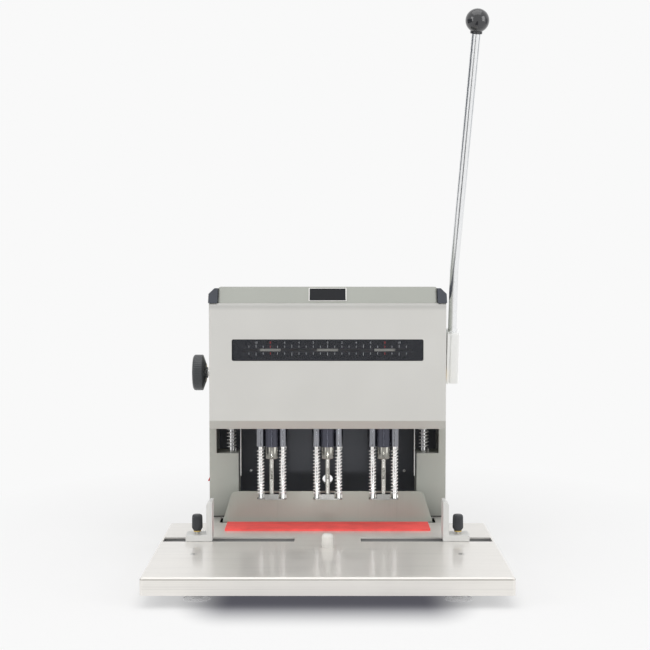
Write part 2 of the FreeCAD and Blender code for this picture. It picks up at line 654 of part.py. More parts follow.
def make_window():
    pane = box("pane", "-window_wide / 2 + fit_gap", "window_wide / 2 - fit_gap", "head_in_y - pane_thick",
               "head_in_y", "window_low + fit_gap", "window_high - fit_gap")
    node(round_edges("pane_rounded", pane, "window_round", lambda edge: runs(edge, "y")), "window_pane")
    plate = box("scale_blank", "-window_wide / 2 - scale_margin", "window_wide / 2 + scale_margin",
                "head_in_y",
                "head_in_y + scale_thick", "window_low - scale_margin", "window_high + scale_margin")
    slot = box("scale_slot", "-window_wide / 2 + scale_slot_inset", "window_wide / 2 - scale_slot_inset",
               "head_y", "head_in_y + sheet * 2",
               "window_mid_z - scale_slot_tall / 2", "window_mid_z + scale_slot_tall / 2")
    node(cut("scale", plate, slot), "scale_plate")


def make_nameplate():
    slope = math.hypot(size("top_rise"), size("top_lean"))
    along_share = size("top_rise") / slope
    out_share = size("top_lean") / slope
    half = f"nameplate_tall * {along_share} / 2"
    lean = f"nameplate_tall * {out_share} / 2"
    mid_y = "cover_y + top_lean / 2"
    mid_z = "frame_top + top_rise / 2"
    points = [
        (f"{mid_y} - {lean}", f"{mid_z} - {half}"),
        (f"{mid_y} + {lean}", f"{mid_z} + {half}"),
        (f"{mid_y} + {lean} - nameplate_thick * {along_share}",
         f"{mid_z} + {half} + nameplate_thick * {out_share}"),
        (f"{mid_y} - {lean} - nameplate_thick * {along_share}",
         f"{mid_z} - {half} + nameplate_thick * {out_share}"),
    ]
    node(outline_body("plate", "YZ_Plane", points, "-nameplate_wide / 2", "nameplate_wide"), "nameplate")


def make_rear():
    panel = box("rear_panel", "-frame_inner", "frame_inner", "rear_y", "back_y", "top_z", "frame_top")
    crown = box("rear_crown", "-half_top + top_round", "half_top - top_round", "rear_y", "back_y",
                "frame_top", "cover_back_z - sheet")
    tools = [rod("rear_hole", "y", "cable_hole_radius", "0", "hole_z", "rear_y - sheet", "back_y + sheet"),
             box("inlet_opening", "inlet_side - inlet_wide / 2", "inlet_side + inlet_wide / 2",
                 "rear_y - sheet", "back_y + sheet", "inlet_z - inlet_tall / 2", "inlet_z + inlet_tall / 2")]
    for side in (-1, 1):
        for row in range(VENT_COUNT):
            low = f"vent_low + {row} * vent_step"
            tools.append(box("vent", f"{side} * vent_side - vent_long / 2",
                             f"{side} * vent_side + vent_long / 2",
                             "rear_y - sheet", "back_y + sheet", low, f"{low} + vent_tall"))
    node(cut("rear", fuse("rear_blank", panel, crown), *tools), "rear_cover")
    inner = box("inner_blank", "-frame_inner", "frame_inner", "inner_panel_y",
                "inner_panel_y + inner_panel_sheet", "top_z", "inner_panel_top")
    hole = rod("inner_hole", "y", "cable_hole_radius", "0", "hole_z", "inner_panel_y - sheet", "rear_y")
    node(cut("inner", inner, hole), "inner_back_panel")


def make_rear_screws():
    screws = []
    for x in ("-frame_inner + rear_screw_inset", "frame_inner - rear_screw_inset"):
        for z in ("top_z + rear_screw_inset * 2", "(top_z + frame_top) / 2",
                  "frame_top - rear_screw_inset * 2"):
            head = rod("rear_screw_head", "y", "rear_screw_radius", x, z, "back_y",
                       "back_y + rear_screw_tall")
            slot = box("rear_screw_slot", f"{x} - rear_screw_radius", f"{x} + rear_screw_radius",
                       "back_y + rear_screw_tall / 2", "back_y + rear_screw_tall * 2",
                       f"{z} - rear_screw_radius / 6", f"{z} + rear_screw_radius / 6")
            screws.append(cut("rear_screw", head, slot))
    node(group("rear_screw_set", *screws), "rear_screws")


def make_power_supply():
    x0, x1 = "supply_side - supply_wide / 2", "supply_side + supply_wide / 2"
    low = "inner_panel_top + free_gap"
    case = box("supply_case", x0, x1, "rear_y - supply_deep", "rear_y", low, f"{low} + supply_tall")
    lugs = box("supply_lugs", f"{x0} - supply_lug", f"{x1} + supply_lug", "rear_y - supply_lug_thick",
               "rear_y", low, f"{low} + supply_tall")
    holes = [rod("supply_hole", "y", "supply_screw_radius",
                 f"supply_side + {side} * (supply_wide + supply_lug) / 2", f"{low} + supply_tall / 2",
                 "rear_y - supply_lug_thick * 2", "rear_y") for side in (-1, 1)]
    node(cut("supply", fuse("supply_body", case, lugs), *holes), "motor_power_supply")


def make_inlet():
    x0, x1 = "inlet_side - inlet_wide / 2", "inlet_side + inlet_wide / 2"
    z0, z1 = "inlet_z - inlet_tall / 2", "inlet_z + inlet_tall / 2"
    shell = box("inlet_shell", x0, x1, "back_y - inlet_deep", "back_y", z0, z1)
    rim = box("inlet_rim", f"{x0} - inlet_rim", f"{x1} + inlet_rim", "back_y", "back_y + inlet_rim_thick",
              f"{z0} - inlet_rim", f"{z1} + inlet_rim")
    well = box("inlet_well", f"{x0} + inlet_wall", f"{x1} - inlet_wall", "back_y - inlet_deep + inlet_wall",
               "back_y + inlet_rim_thick * 2", f"{z0} + inlet_wall", f"{z1} - inlet_wall")
    pins = [rod("inlet_pin", "y", "inlet_pin_radius", f"inlet_side + {step} * inlet_pin_side", "inlet_z",
                "back_y - inlet_deep + inlet_wall", "back_y - inlet_deep + inlet_wall + inlet_pin_long")
            for step in (-1, 0, 1)]
    node(fuse("inlet", cut("inlet_socket", fuse("inlet_body", shell, rim), well), *pins), "power_inlet")


def make_switch():
    bezel_high = "switch_bezel_tall / 2"
    box_high = "switch_bezel_tall / 2 - switch_bezel"
    hollow_high = "switch_rocker_tall / 2 + rocker_gap"
    hollow_deep = "switch_rocker_deep / 2 + rest_gap"
    bezel = side_box("bezel", -1, "half_frame", "half_frame + switch_bezel",
                     "switch_y - switch_bezel_deep / 2",
                     "switch_y + switch_bezel_deep / 2", f"switch_up - {bezel_high}",
                     f"switch_up + {bezel_high}")
    body = side_box("switch_box", -1, "half_frame - switch_inside", "half_frame",
                    "switch_y - switch_box_deep / 2",
                    "switch_y + switch_box_deep / 2", f"switch_up - ({box_high})", f"switch_up + {box_high}")
    well = side_box("switch_well", -1, "half_frame - switch_inside + switch_wall",
                    "half_frame + switch_inside",
                    f"switch_y - ({hollow_deep})", f"switch_y + {hollow_deep}",
                    f"switch_up - ({hollow_high})", f"switch_up + {hollow_high}")
    node(cut("switch", fuse("switch_body", bezel, body), well), "switch_housing")
    low, high = "switch_up - switch_rocker_tall / 2", "switch_up + switch_rocker_tall / 2"
    face = "-half_frame - switch_bezel"
    points = [
        (f"{face} + rocker_root", f"{low} + switch_bezel"),
        (f"{face} + rocker_root", f"{high} - switch_bezel"),
        (f"{face} + switch_wall", high), (f"{face} - rocker_flat", "switch_up"),
        (f"{face} + switch_bezel - rocker_proud", low), (f"{face} + switch_wall", low),
    ]
    node(outline_body("rocker", "XZ_Plane", points, "switch_y - switch_rocker_deep / 2",
                      "switch_rocker_deep"),
         "switch_rocker")


# Columns, springs, shaft, gear and rack

def make_columns():
    columns = [rod("column", "z", "column_radius", f"{side} * column_side", "column_y", "top_z",
                   "column_top_z - column_top_gap") for side in (-1, 1)]
    nuts = [rod("column_nut", "z", "column_radius * 2", f"{side} * column_side", "column_y",
                "column_top_z - column_radius", "column_top_z") for side in (-1, 1)]
    pairs = [fuse("column_with_nut", column, nut) for column, nut in zip(columns, nuts)]
    node(group("column_pair", *pairs), "guide_columns")


def arc_between(start, corner, end):
    """The arc that leaves start towards corner and reaches end from corner."""
    chord_middle = (start + end) * 0.5
    half_turn = math.atan2((corner - chord_middle).Length, (end - start).Length / 2)
    bulge_share = math.tan(half_turn / 2) / math.tan(half_turn)
    return Part.Arc(start, chord_middle + (corner - chord_middle) * bulge_share, end).toShape()


def biarc(start, start_way, end, end_way):
    """Two tangent arcs from one point and direction to another."""
    gap = end - start
    ways = start_way + end_way
    bend = 2 * (1 - start_way.dot(end_way))
    reach = (-gap.dot(ways) + math.sqrt(gap.dot(ways) ** 2 + bend * gap.dot(gap))) / bend
    first_corner = start + start_way * reach
    second_corner = end - end_way * reach
    joint = (first_corner + second_corner) * 0.5
    return [arc_between(start, first_corner, joint), arc_between(joint, second_corner, end)]


def wound_spring(centre, coil, wire, low, high, curls):
    """One round wire: a straight end, the curls, and a straight end, with its gap to itself."""
    lead = 4 * wire
    first, last = low + 2 * wire + lead, high - 2 * wire - lead
    rise = (last - first) / (2 * math.pi * curls)

    def point(turn):
        return centre + Vector(coil * math.cos(turn), coil * math.sin(turn), first + rise * turn)

    def way(turn):
        return Vector(-coil * math.sin(turn), coil * math.cos(turn), rise).normalize()

    up = Vector(0, 0, 1)
    final = 2 * math.pi * curls
    start_turn, end_turn = point(0), point(final)
    foot = start_turn - way(0) * lead - up * lead
    head = end_turn + way(final) * lead + up * lead
    foot.z, head.z = low + 2 * wire, high - 2 * wire
    edges = [Part.LineSegment(Vector(foot.x, foot.y, low), foot).toShape()]
    edges += biarc(foot, up, start_turn, way(0))
    for quarter in range(4 * curls):
        turn, following = quarter * math.pi / 2, (quarter + 1) * math.pi / 2
        edges += biarc(point(turn), way(turn), point(following), way(following))
    edges += biarc(end_turn, way(final), head, up)
    edges.append(Part.LineSegment(head, Vector(head.x, head.y, high)).toShape())
    path = Part.Wire(edges)
    section = Part.Wire(Part.makeCircle(wire, Vector(foot.x, foot.y, low), up))
    shell = Part.BRepOffsetAPI.MakePipeShell(path)
    shell.add(section)
    shell.build()
    shell.makeSolid()
    lean = math.cos(math.atan2(rise, coil))
    turn_gap = 2 * math.pi * rise * lean - 2 * wire
    print("spring", curls, "curls, length", round(high - low, 2), "gap between curls", round(turn_gap, 3),
          "volume against section times length",
          round(shell.shape().Volume / (math.pi * wire ** 2 * path.Length), 4), "least gap",
          round(least_gap(path, wire), 3))
    return shell.shape()


def least_gap(path, wire):
    """Least distance from the wire to itself, measured on points more than half a curl apart."""
    points = path.discretize(Distance=wire * 2)
    steps = max(4, int(len(points) / 40))
    closest = min((points[a] - points[b]).Length
                  for a in range(len(points)) for b in range(a + steps, len(points)))
    return closest - 2 * wire


def spring_node(label, centres, coil, wire, low, high, curls):
    item = document.addObject("Part::Feature", label)
    item.Shape = Part.makeCompound([wound_spring(centre, size(coil), size(wire), size(low), size(high),
                                                 curls)
                                    for centre in centres])
    item.Placement = FreeCAD.Placement()
    return node(item, label)


def make_return_springs():
    centres = [Vector(side * size("column_side"), size("column_y"), 0) for side in (-1, 1)]
    spring_node("return_springs", centres, "return_coil_radius", "return_wire_radius", "post_top",
                "bushing_low_z - rest_gap", RETURN_CURLS)


def make_bushings():
    bushes = []
    for side in (-1, 1):
        start, end = ("frame_inner - bush_flange", "half_frame") if side > 0 else \
            ("-half_frame", "-frame_inner + bush_flange")
        barrel = rod("bush_barrel", "x", "bush_radius", "shaft_y", "shaft_up", start, end)
        flange_start = "frame_inner - bush_flange" if side > 0 else "-frame_inner"
        flange = rod("bush_flange", "x", "bush_flange_radius", "shaft_y", "shaft_up", flange_start,
                     f"{flange_start} + bush_flange")
        washer_start = "half_frame" if side > 0 else "-half_frame - bush_washer"
        washer = rod("bush_washer", "x", "bush_washer_radius", "shaft_y", "shaft_up", washer_start,
                     f"{washer_start} + bush_washer")
        bore = rod("bush_bore", "x", "shaft_radius + run_gap", "shaft_y", "shaft_up",
                   f"{side} * half_frame - post_wide", f"{side} * half_frame + post_wide")
        bushes.append(cut("bush", fuse("bush_body", barrel, flange, washer), bore))
    node(group("bush_pair", *bushes), "shaft_bushings")


def make_shaft():
    node(rod("shaft", "x", "shaft_radius", "shaft_y", "shaft_up", "-half_frame - bush_washer",
             "hub_end_x - hub_plate"), "lever_shaft")


def gear_outline():
    module, teeth = size("tooth_module"), GEAR_TEETH
    pitch_radius = size("gear_radius")
    base_radius = pitch_radius * math.cos(PRESSURE_ANGLE)
    root_radius = pitch_radius - DEDENDUM_SHARE * module
    tip_radius = pitch_radius + module
    half_tooth = math.pi / (2 * teeth) - size("tooth_play") / (2 * pitch_radius)

    def flank(radius):
        angle = math.acos(min(1, base_radius / radius))
        return half_tooth + (math.tan(PRESSURE_ANGLE) - PRESSURE_ANGLE) - (math.tan(angle) - angle)

    rising = [base_radius + (tip_radius - base_radius) * step / (FLANK_POINTS - 1)
              for step in range(FLANK_POINTS)]
    points = []
    for tooth in range(teeth):
        centre = math.pi + tooth * 2 * math.pi / teeth
        profile = [(root_radius, -flank(base_radius))] + [(radius, -flank(radius)) for radius in rising]
        profile += [(radius, flank(radius)) for radius in reversed(rising)]
        profile.append((root_radius, flank(base_radius)))
        points += [Vector(0, radius * math.cos(centre + turn), radius * math.sin(centre + turn))
                   for radius, turn in profile]
    return Part.Face(Part.makePolygon(points + points[:1]))


def make_gear():
    item = document.addObject("Part::Feature", "gear_blank")
    wide = size("gear_wide")
    item.Shape = gear_outline().extrude(Vector(wide, 0, 0))
    item.Placement = FreeCAD.Placement(Vector(-wide / 2, size("shaft_y"), size("shaft_up")),
                                       FreeCAD.Rotation())
    hub = rod("gear_hub", "x", "gear_hub_radius", "shaft_y", "shaft_up", "gear_wide / 2",
              "gear_wide / 2 + gear_hub_long")
    bore = rod("gear_bore", "x", "shaft_radius", "shaft_y", "shaft_up", "-gear_wide", "gear_wide * 2")
    node(cut("gear", fuse("gear_body", item, hub), bore), "pinion_gear")


def rack_outline():
    module = size("tooth_module")
    step = math.pi * module
    half = step / 4 - size("tooth_play") / 2
    slope = math.tan(PRESSURE_ANGLE)
    pitch_y, back = size("rack_pitch_y"), size("carriage_y")
    root_y, tip_y = pitch_y - DEDENDUM_SHARE * module, pitch_y + module
    points = [(back, size("rack_low")), (root_y, size("rack_low"))]
    for tooth in range(-int(size("rack_teeth_below")) - 1, int(size("rack_teeth_above"))):
        centre = size("shaft_up") + (tooth + 0.5) * step
        root, tip = half + DEDENDUM_SHARE * module * slope, half - module * slope
        points += [(root_y, centre - root), (tip_y, centre - tip), (tip_y, centre + tip),
                   (root_y, centre + root)]
    points += [(root_y, size("rack_high")), (back, size("rack_high"))]
    corners = [Vector(0, y, z) for y, z in points]
    return Part.Face(Part.makePolygon(corners + corners[:1]))


def make_rack():
    item = document.addObject("Part::Feature", "rack")
    wide = size("gear_wide")
    item.Shape = rack_outline().extrude(Vector(wide, 0, 0))
    item.Placement = FreeCAD.Placement(Vector(-wide / 2, 0, 0), FreeCAD.Rotation())
    node(item, "rack_bar")


# Lever

def lean(item):
    """Turn a lever piece forward about the shaft."""
    turn = FreeCAD.Rotation(Vector(1, 0, 0), size("lever_lean_degrees"))
    item.Placement = FreeCAD.Placement(Vector(), turn)
    return place(item, "0", "shaft_y", "shaft_up")


def make_hub():
    deep = "hub_deep / 2"
    top = "hub_long - hub_below"
    plate = box("hub_flat", "hub_x", "hub_x + hub_plate", f"-({deep})", deep, "-hub_below", top)
    core = box("hub_core", "hub_x + hub_plate", "hub_block_x", f"-({deep}) + hub_groove_deep",
               f"{deep} - hub_groove_deep", "-hub_below + hub_groove_deep", f"{top} - hub_groove_deep")
    block = box("hub_body", "hub_block_x", "hub_end_x", f"-({deep})", deep, "-hub_below", top)
    soft = round_edges("hub_rounded", block, "hub_groove_deep",
                       lambda edge: runs(edge, "z") or runs(edge, "x") or runs(edge, "y"))
    bore = rod("hub_bore", "x", "shaft_radius + run_gap", "0", "0", "hub_x - hub_plate",
               "hub_end_x - hub_plate + run_gap")
    socket = rod("hub_socket", "z", "rod_radius + run_gap", "rod_x", "0", "rod_start - run_gap", "hub_long")
    solid = cut("hub_solid", fuse("hub_blank", plate, core, soft), bore, socket)
    node(lean(group("hub", solid)), "lever_hub")


def make_lever_rod():
    start = Vector(size("rod_x"), 0, size("rod_start"))
    bend = Vector(size("rod_x"), 0, size("rod_bend_up"))
    end = Vector(size("rod_x + rod_end_side"), 0, size("rod_end_up"))
    rise = (end - bend).normalize()
    turn = math.acos(rise.z)
    reach = size("rod_bend_radius") * math.tan(turn / 2)
    first, second = bend - Vector(0, 0, reach), bend + rise * reach
    path = Part.Wire([Part.LineSegment(start, first).toShape(), arc_between(first, bend, second),
                      Part.LineSegment(second, end).toShape()])
    section = Part.Wire(Part.makeCircle(size("rod_radius"), start, Vector(0, 0, 1)))
    shell = Part.BRepOffsetAPI.MakePipeShell(path)
    shell.add(section)
    shell.build()
    shell.makeSolid()
    item = document.addObject("Part::Feature", "rod_bent")
    item.Shape = shell.shape()
    node(lean(item), "lever_rod")


def make_ball():
    """The ball, built upright on the rod's end and then turned to the rod's own direction."""
    sphere = ball("ball_round", "ball_radius", "0", "0", "ball_up - rod_end_up")
    neck = rod("ball_neck_round", "z", "ball_neck_radius", "0", "0", "-ball_neck_low",
               "ball_up - rod_end_up")
    bore = rod("ball_bore", "z", "rod_radius + run_gap", "0", "0", "-ball_radius", "run_gap")
    solid = cut("ball_solid", fuse("ball_body", sphere, neck), bore)
    tilt = math.degrees(math.atan2(size("rod_end_side"), size("rod_end_up - rod_bend_up")))
    solid.Placement = FreeCAD.Placement(Vector(), FreeCAD.Rotation(Vector(0, 1, 0), tilt))
    place(solid, "rod_x + rod_end_side", "0", "rod_end_up")
    holder = group("ball_holder", solid)
    node(lean(holder), "lever_ball")


# Carriage

def make_carriage():
    pieces = [box("back_plate_blank", "-end_outer", "end_outer", "plate_y", "carriage_y", "carriage_low",
                  "carriage_high")]
    tools = []
    for side in (-1, 1):
        pieces.append(side_box("end_plate_blank", side, "end_plate_inner", "end_outer", "end_y",
                               "carriage_y", "carriage_low", "carriage_high"))
        pieces.append(side_box("end_leg", side, "end_outer - end_leg", "end_outer", "leg_y", "carriage_y",
                               "end_leg_low", "carriage_low"))
        pieces.append(side_box("column_block", side, "end_outer - block_overlap", "block_outer", "plate_y",
                               "block_y", "block_low", "block_high"))
        tools.append(rod("column_block_hole", "z", "bushing_radius", f"{side} * column_side", "column_y",
                         "carriage_low", "carriage_high"))
    for height in ("slide_rail_low", "slide_rail_high"):
        tools.append(rod("slide_rail_hole", "x", "slide_rail_radius", "slide_y", height, "-block_outer",
                         "block_outer"))
    tools.append(rod("screw_hole", "x", "screw_radius + run_gap", "screw_y", "screw_up", "-block_outer",
                     "block_outer"))
    node(cut("carriage", fuse("carriage_body", *pieces), *tools), "carriage_frame")
    rails = [rod("slide_rail", "x", "slide_rail_radius", "slide_y", height, "-end_outer", "end_outer")
             for height in ("slide_rail_low", "slide_rail_high")]
    node(group("slide_rail_pair", *rails), "slide_rails")


def make_carriage_bushings():
    bushings = []
    for side in (-1, 1):
        x = f"{side} * column_side"
        sleeve = rod("sleeve", "z", "bushing_radius", x, "column_y", "bushing_low_z",
                     "block_high + bushing_proud")
        bore = rod("sleeve_bore", "z", "column_radius + run_gap", x, "column_y", "carriage_low",
                   "carriage_high")
        bushings.append(cut("carriage_bushing", sleeve, bore))
    node(group("carriage_bushing_pair", *bushings), "carriage_bushings")


def make_pitch_screw():
    node(rod("pitch_rod", "x", "screw_radius", "screw_y", "screw_up", "-knob_x - knob_hub - knob_cone",
             "end_outer + screw_radius"), "pitch_screw")
    parts = [
        ("knob_hub_round", "knob_hub_radius", "knob_hub_radius", "knob_x", "knob_x + knob_hub"),
        ("knob_back", "knob_neck_radius", "knob_radius", "knob_x + knob_hub",
         "knob_x + knob_hub + knob_cone"),
        ("knob_grip", "knob_radius", "knob_radius - free_gap", "knob_x + knob_hub + knob_cone",
         "knob_x + knob_hub + knob_cone + knob_wide"),
    ]
    solids = []
    for label, near_radius, far_radius, near_x, far_x in parts:
        solids.append(taper(label, "x", f"{far_radius}", f"{near_radius} + run_gap", "screw_y", "screw_up",
                            f"-({far_x})", f"-({near_x})"))
    outer_face = "-(knob_x + knob_hub + knob_cone + knob_wide)"
    solids[2] = round_edges("knob_rounded", solids[2], "knob_round",
                            lambda edge: near(edge.BoundBox.XMax, outer_face))
    bore = rod("knob_bore", "x", "screw_radius", "screw_y", "screw_up", "-knob_x - knob_hub - knob_cone",
               "-knob_x + knob_hub")
    node(cut("knob", fuse("knob_body", *solids), bore), "pitch_knob")


# Drill units

UNITS = (("left", "-pitch"), ("middle", "0"), ("right", "pitch"))


def make_housing(name, x):
    back = "plate_y" if name == "middle" else "unit_back_y"
    core = rod("unit_core", "z", "core_radius", x, "spindle_y", "unit_low", "unit_high")
    sleeves = [rod("unit_sleeve", "z", "sleeve_radius", f"{x} + {side} * rod_pitch / 2", "spindle_y",
                   "unit_low", "unit_high") for side in (-1, 1)]
    web = box("unit_web", f"{x} - unit_half", f"{x} + unit_half", "spindle_y", "unit_split_y", "unit_low",
              "unit_high")
    slider = box("unit_slider", f"{x} - unit_half", f"{x} + unit_half", "unit_split_y", back, "slider_low",
                 "slider_high")
    nut = box("unit_nut", f"{x} - nut_wide / 2", f"{x} + nut_wide / 2", "screw_y - nut_half",
              "screw_y + nut_half", "slider_high", "nut_high")
    nut_foot = box("unit_nut_foot", f"{x} - nut_wide / 2", f"{x} + nut_wide / 2", "screw_y - nut_half",
                   "unit_back_y", "slider_low", "slider_high")
    arm_foot = box("pointer_foot", f"{x} - pointer_wide / 2", f"{x} + pointer_wide / 2", "pointer_y",
                   "spindle_y - (core_radius + spindle_radius) / 2", "pointer_foot_low",
                   "pointer_foot_low + pointer_foot")
    arm = box("pointer_arm", f"{x} - pointer_wide / 2", f"{x} + pointer_wide / 2", "pointer_y",
              "pointer_y + pointer_thick", "pointer_foot_low", "window_mid_z")
    bar = box("pointer_bar", f"{x} - pointer_bar_wide / 2", f"{x} + pointer_bar_wide / 2", "pointer_y",
              "pointer_y + pointer_thick", "window_mid_z - pointer_bar / 2",
              "window_mid_z + pointer_bar / 2")
    tools = [rod("spindle_bore", "z", "spindle_radius + run_gap", x, "spindle_y", "foot_low", "nut_high"),
             rod("screw_bore", "x", "screw_radius + run_gap", "screw_y", "screw_up",
                 f"{x} - unit_half", f"{x} + unit_half")]
    for height in ("slide_rail_low", "slide_rail_high"):
        tools.append(rod("rail_bore", "x", "slide_rail_radius + run_gap", "slide_y", height,
                         f"{x} - unit_half", f"{x} + unit_half"))
    for side in (-1, 1):
        rod_x = f"{x} + {side} * rod_pitch / 2"
        tools.append(rod("guide_rod_bore", "z", "guide_rod_radius + run_gap", rod_x, "spindle_y", "foot_low",
                         "nut_high"))
        tools.append(rod("collar_bore", "z", "guide_rod_collar_radius + fit_gap", rod_x, "spindle_y",
                         "collar_seat", "nut_high"))
    solid = fuse("unit_body", core, *sleeves, web, slider, nut, nut_foot, arm_foot, arm, bar)
    node(cut("unit", solid, *tools), f"spindle_housing_{name}")


def make_motor(name, x):
    can = rod("motor_can", "z", "motor_radius", x, "spindle_y", "unit_high", "unit_high + motor_tall")
    soft = round_edges("motor_rounded", can, "stop_round / 2",
                       lambda edge: near(edge.BoundBox.ZMin, "unit_high + motor_tall"))
    cap = rod("motor_cap_round", "z", "motor_cap_radius", x, "spindle_y", "unit_high + motor_tall",
              "unit_high + motor_tall + motor_cap")
    bore = rod("motor_bore", "z", "rotor_radius + run_gap", x, "spindle_y", "unit_low",
               "unit_high + motor_bore_deep")
    node(cut("motor", fuse("motor_body", soft, cap), bore), f"drill_motor_{name}")


def make_spindle(name, x):
    shaft = rod("spindle_shaft", "z", "spindle_radius", x, "spindle_y", "unit_low - rest_gap",
                "unit_high - rest_gap")
    chuck = rod("chuck_round", "z", "chuck_radius", x, "spindle_y", "chuck_low", "unit_low - rest_gap")
    soft = round_edges("chuck_rounded", chuck, "free_gap",
                       lambda edge: near(edge.BoundBox.ZMax, "chuck_low"))
    rotor = rod("rotor", "z", "rotor_radius", x, "spindle_y", "unit_high - rest_gap",
                "unit_high + motor_bore_deep - rest_gap")
    bore = rod("chuck_bore", "z", "bit_shank_radius", x, "spindle_y", "foot_low",
               "chuck_low + bit_shank")
    way_out = rod("chip_bore", "z", "bit_bore_radius", x, "spindle_y", "foot_low",
                  "chuck_low + bit_shank + bit_bore_extra")
    node(cut("spindle", fuse("spindle_body", shaft, soft, rotor), bore, way_out), f"spindle_{name}")
    shank = rod("bit_shank_round", "z", "bit_shank_radius", x, "spindle_y", "chuck_low",
                "chuck_low + bit_shank")
    blade = rod("bit_blade", "z", "bit_radius", x, "spindle_y", "foot_low", "chuck_low")
    hollow = rod("bit_hollow", "z", "bit_bore_radius", x, "spindle_y", "foot_low - bit_radius",
                 "chuck_low + bit_shank + bit_radius")
    slot = box("bit_slot", f"{x} - bit_slot_wide / 2", f"{x} + bit_slot_wide / 2",
               "spindle_y - bit_radius * 2", "spindle_y", "bit_slot_low", "bit_slot_low + bit_slot_tall")
    node(cut("bit", fuse("bit_body", shank, blade), hollow, slot), f"drill_bit_{name}")


def make_presser_foot(name, x):
    y0, y1 = "spindle_y - shoe_deep / 2", "spindle_y + shoe_deep / 2"
    plate = box("shoe_plate", f"{x} - shoe_wide / 2", f"{x} + shoe_wide / 2", y0, y1, "foot_low",
                "shoe_top_z")
    soft = round_edges("shoe_rounded", plate, "shoe_corner", lambda edge: runs(edge, "z"))
    block = box("shoe_block", f"{x} - shoe_block_wide / 2", f"{x} + shoe_block_wide / 2", y0, y1,
                "shoe_top_z", "shoe_top_z + shoe_block_tall")
    pieces = [soft, block]
    for side in (-1, 1):
        rod_x = f"{x} + {side} * rod_pitch / 2"
        pieces.append(rod("guide_rod", "z", "guide_rod_radius", rod_x, "spindle_y", "shoe_top_z",
                          "collar_seat + rest_gap"))
        pieces.append(rod("guide_rod_head", "z", "guide_rod_collar_radius", rod_x, "spindle_y",
                          "collar_seat + rest_gap", "collar_seat + rest_gap + guide_rod_collar"))
    hole = rod("shoe_hole", "z", "shoe_bore_radius", x, "spindle_y", "foot_low - shoe_thick",
               "shoe_top_z + shoe_block_tall + shoe_thick")
    node(cut("shoe", fuse("shoe_body", *pieces), hole), f"presser_foot_{name}")
    centres = [Vector(size(f"{x} + {side} * rod_pitch / 2"), size("spindle_y"), 0) for side in (-1, 1)]
    spring_node(f"foot_springs_{name}", centres, "foot_coil_radius", "foot_wire_radius",
                "shoe_top_z + rest_gap", "unit_low", FOOT_CURLS)


def build():
    fill_sheet()
    make_table()
    make_deck()
    make_tray()
    make_feet()
    make_table_screws()
    make_mat()
    make_centre_stop()
    make_guide_rails()
    for side, name in ((-1, "left"), (1, "right")):
        make_guide(side, name)
        make_thumb_screw(side, name)
        make_side_frame(side, name)
    make_fence()
    make_front_cover()
    make_top_cover()
    make_corner_caps()
    make_window()
    make_nameplate()
    make_rear()
    make_rear_screws()
    make_power_supply()
    make_inlet()
    make_switch()
    make_columns()
    make_return_springs()
    make_bushings()
    make_shaft()
    make_gear()
    make_rack()
    make_hub()
    make_lever_rod()
    make_ball()
    make_carriage()
    make_carriage_bushings()
    make_pitch_screw()
    for name, x in UNITS:
        make_housing(name, x)
        make_motor(name, x)
        make_spindle(name, x)
        make_presser_foot(name, x)
    document.recompute()


def check():
    for item in document.Objects:
        if "Invalid" in item.State or "Error" in item.State:
            raise RuntimeError(f"{item.Label} failed: {item.State}")
    for item in nodes:
        if item.Shape.isNull() or not item.Shape.isValid() or not item.Shape.Solids:
            raise RuntimeError(f"{item.Label} has no valid solid")


def export():
    os.makedirs("parts", exist_ok=True)
    for item in nodes:
        item.Shape.exportStep(f"parts/{item.Label}.step")
        print(item.Label, len(item.Shape.Solids), "solids", round(item.Shape.Volume), "mm3")
    print(len(nodes), "nodes")


build()
check()
export()
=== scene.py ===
"""The looks of a bench paper drill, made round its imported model. Lengths are in metres."""

import math

import bmesh
import bpy
from mathutils import Matrix, Vector


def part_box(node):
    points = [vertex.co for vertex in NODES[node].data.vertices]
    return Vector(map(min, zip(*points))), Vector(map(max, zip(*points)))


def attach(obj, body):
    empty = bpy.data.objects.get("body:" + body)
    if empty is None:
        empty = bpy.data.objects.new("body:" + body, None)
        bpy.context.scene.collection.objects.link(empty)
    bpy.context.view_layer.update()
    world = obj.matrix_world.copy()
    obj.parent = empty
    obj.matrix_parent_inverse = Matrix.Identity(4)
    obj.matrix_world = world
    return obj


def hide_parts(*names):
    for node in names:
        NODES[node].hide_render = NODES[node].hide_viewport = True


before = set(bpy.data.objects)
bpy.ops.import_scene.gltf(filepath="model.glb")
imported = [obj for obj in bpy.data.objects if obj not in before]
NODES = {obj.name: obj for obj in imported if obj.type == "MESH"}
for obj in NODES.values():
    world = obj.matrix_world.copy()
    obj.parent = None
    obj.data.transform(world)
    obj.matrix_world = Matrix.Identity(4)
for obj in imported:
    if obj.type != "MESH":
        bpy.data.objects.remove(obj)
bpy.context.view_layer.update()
MM = 0.001

# The photograph's frame and the camera that took it
PHOTO_WIDE = 650
FOCAL_PIXELS = 1400
SYMMETRY_PIXEL = 327.6
CAMERA_BACK = 1.666
CAMERA_UP = 0.3953
CAMERA_DOWN_DEGREES = 3.12
SENSOR = 36

UNIT_BODIES = {"left": "unit_left", "middle": "carriage", "right": "unit_right"}
SIDES = {"left": -1, "right": 1}


def low(node):
    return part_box(node)[0]


def high(node):
    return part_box(node)[1]


def centre(node):
    return (low(node) + high(node)) / 2


# Colours and shaders

def srgb(red, green, blue):
    """A colour as a picture shows it, from 0 to 255, turned into the shader's linear values."""
    def linear(value):
        share = value / 255
        return share / 12.92 if share <= 0.04045 else ((share + 0.055) / 1.055) ** 2.4
    return (linear(red), linear(green), linear(blue), 1)


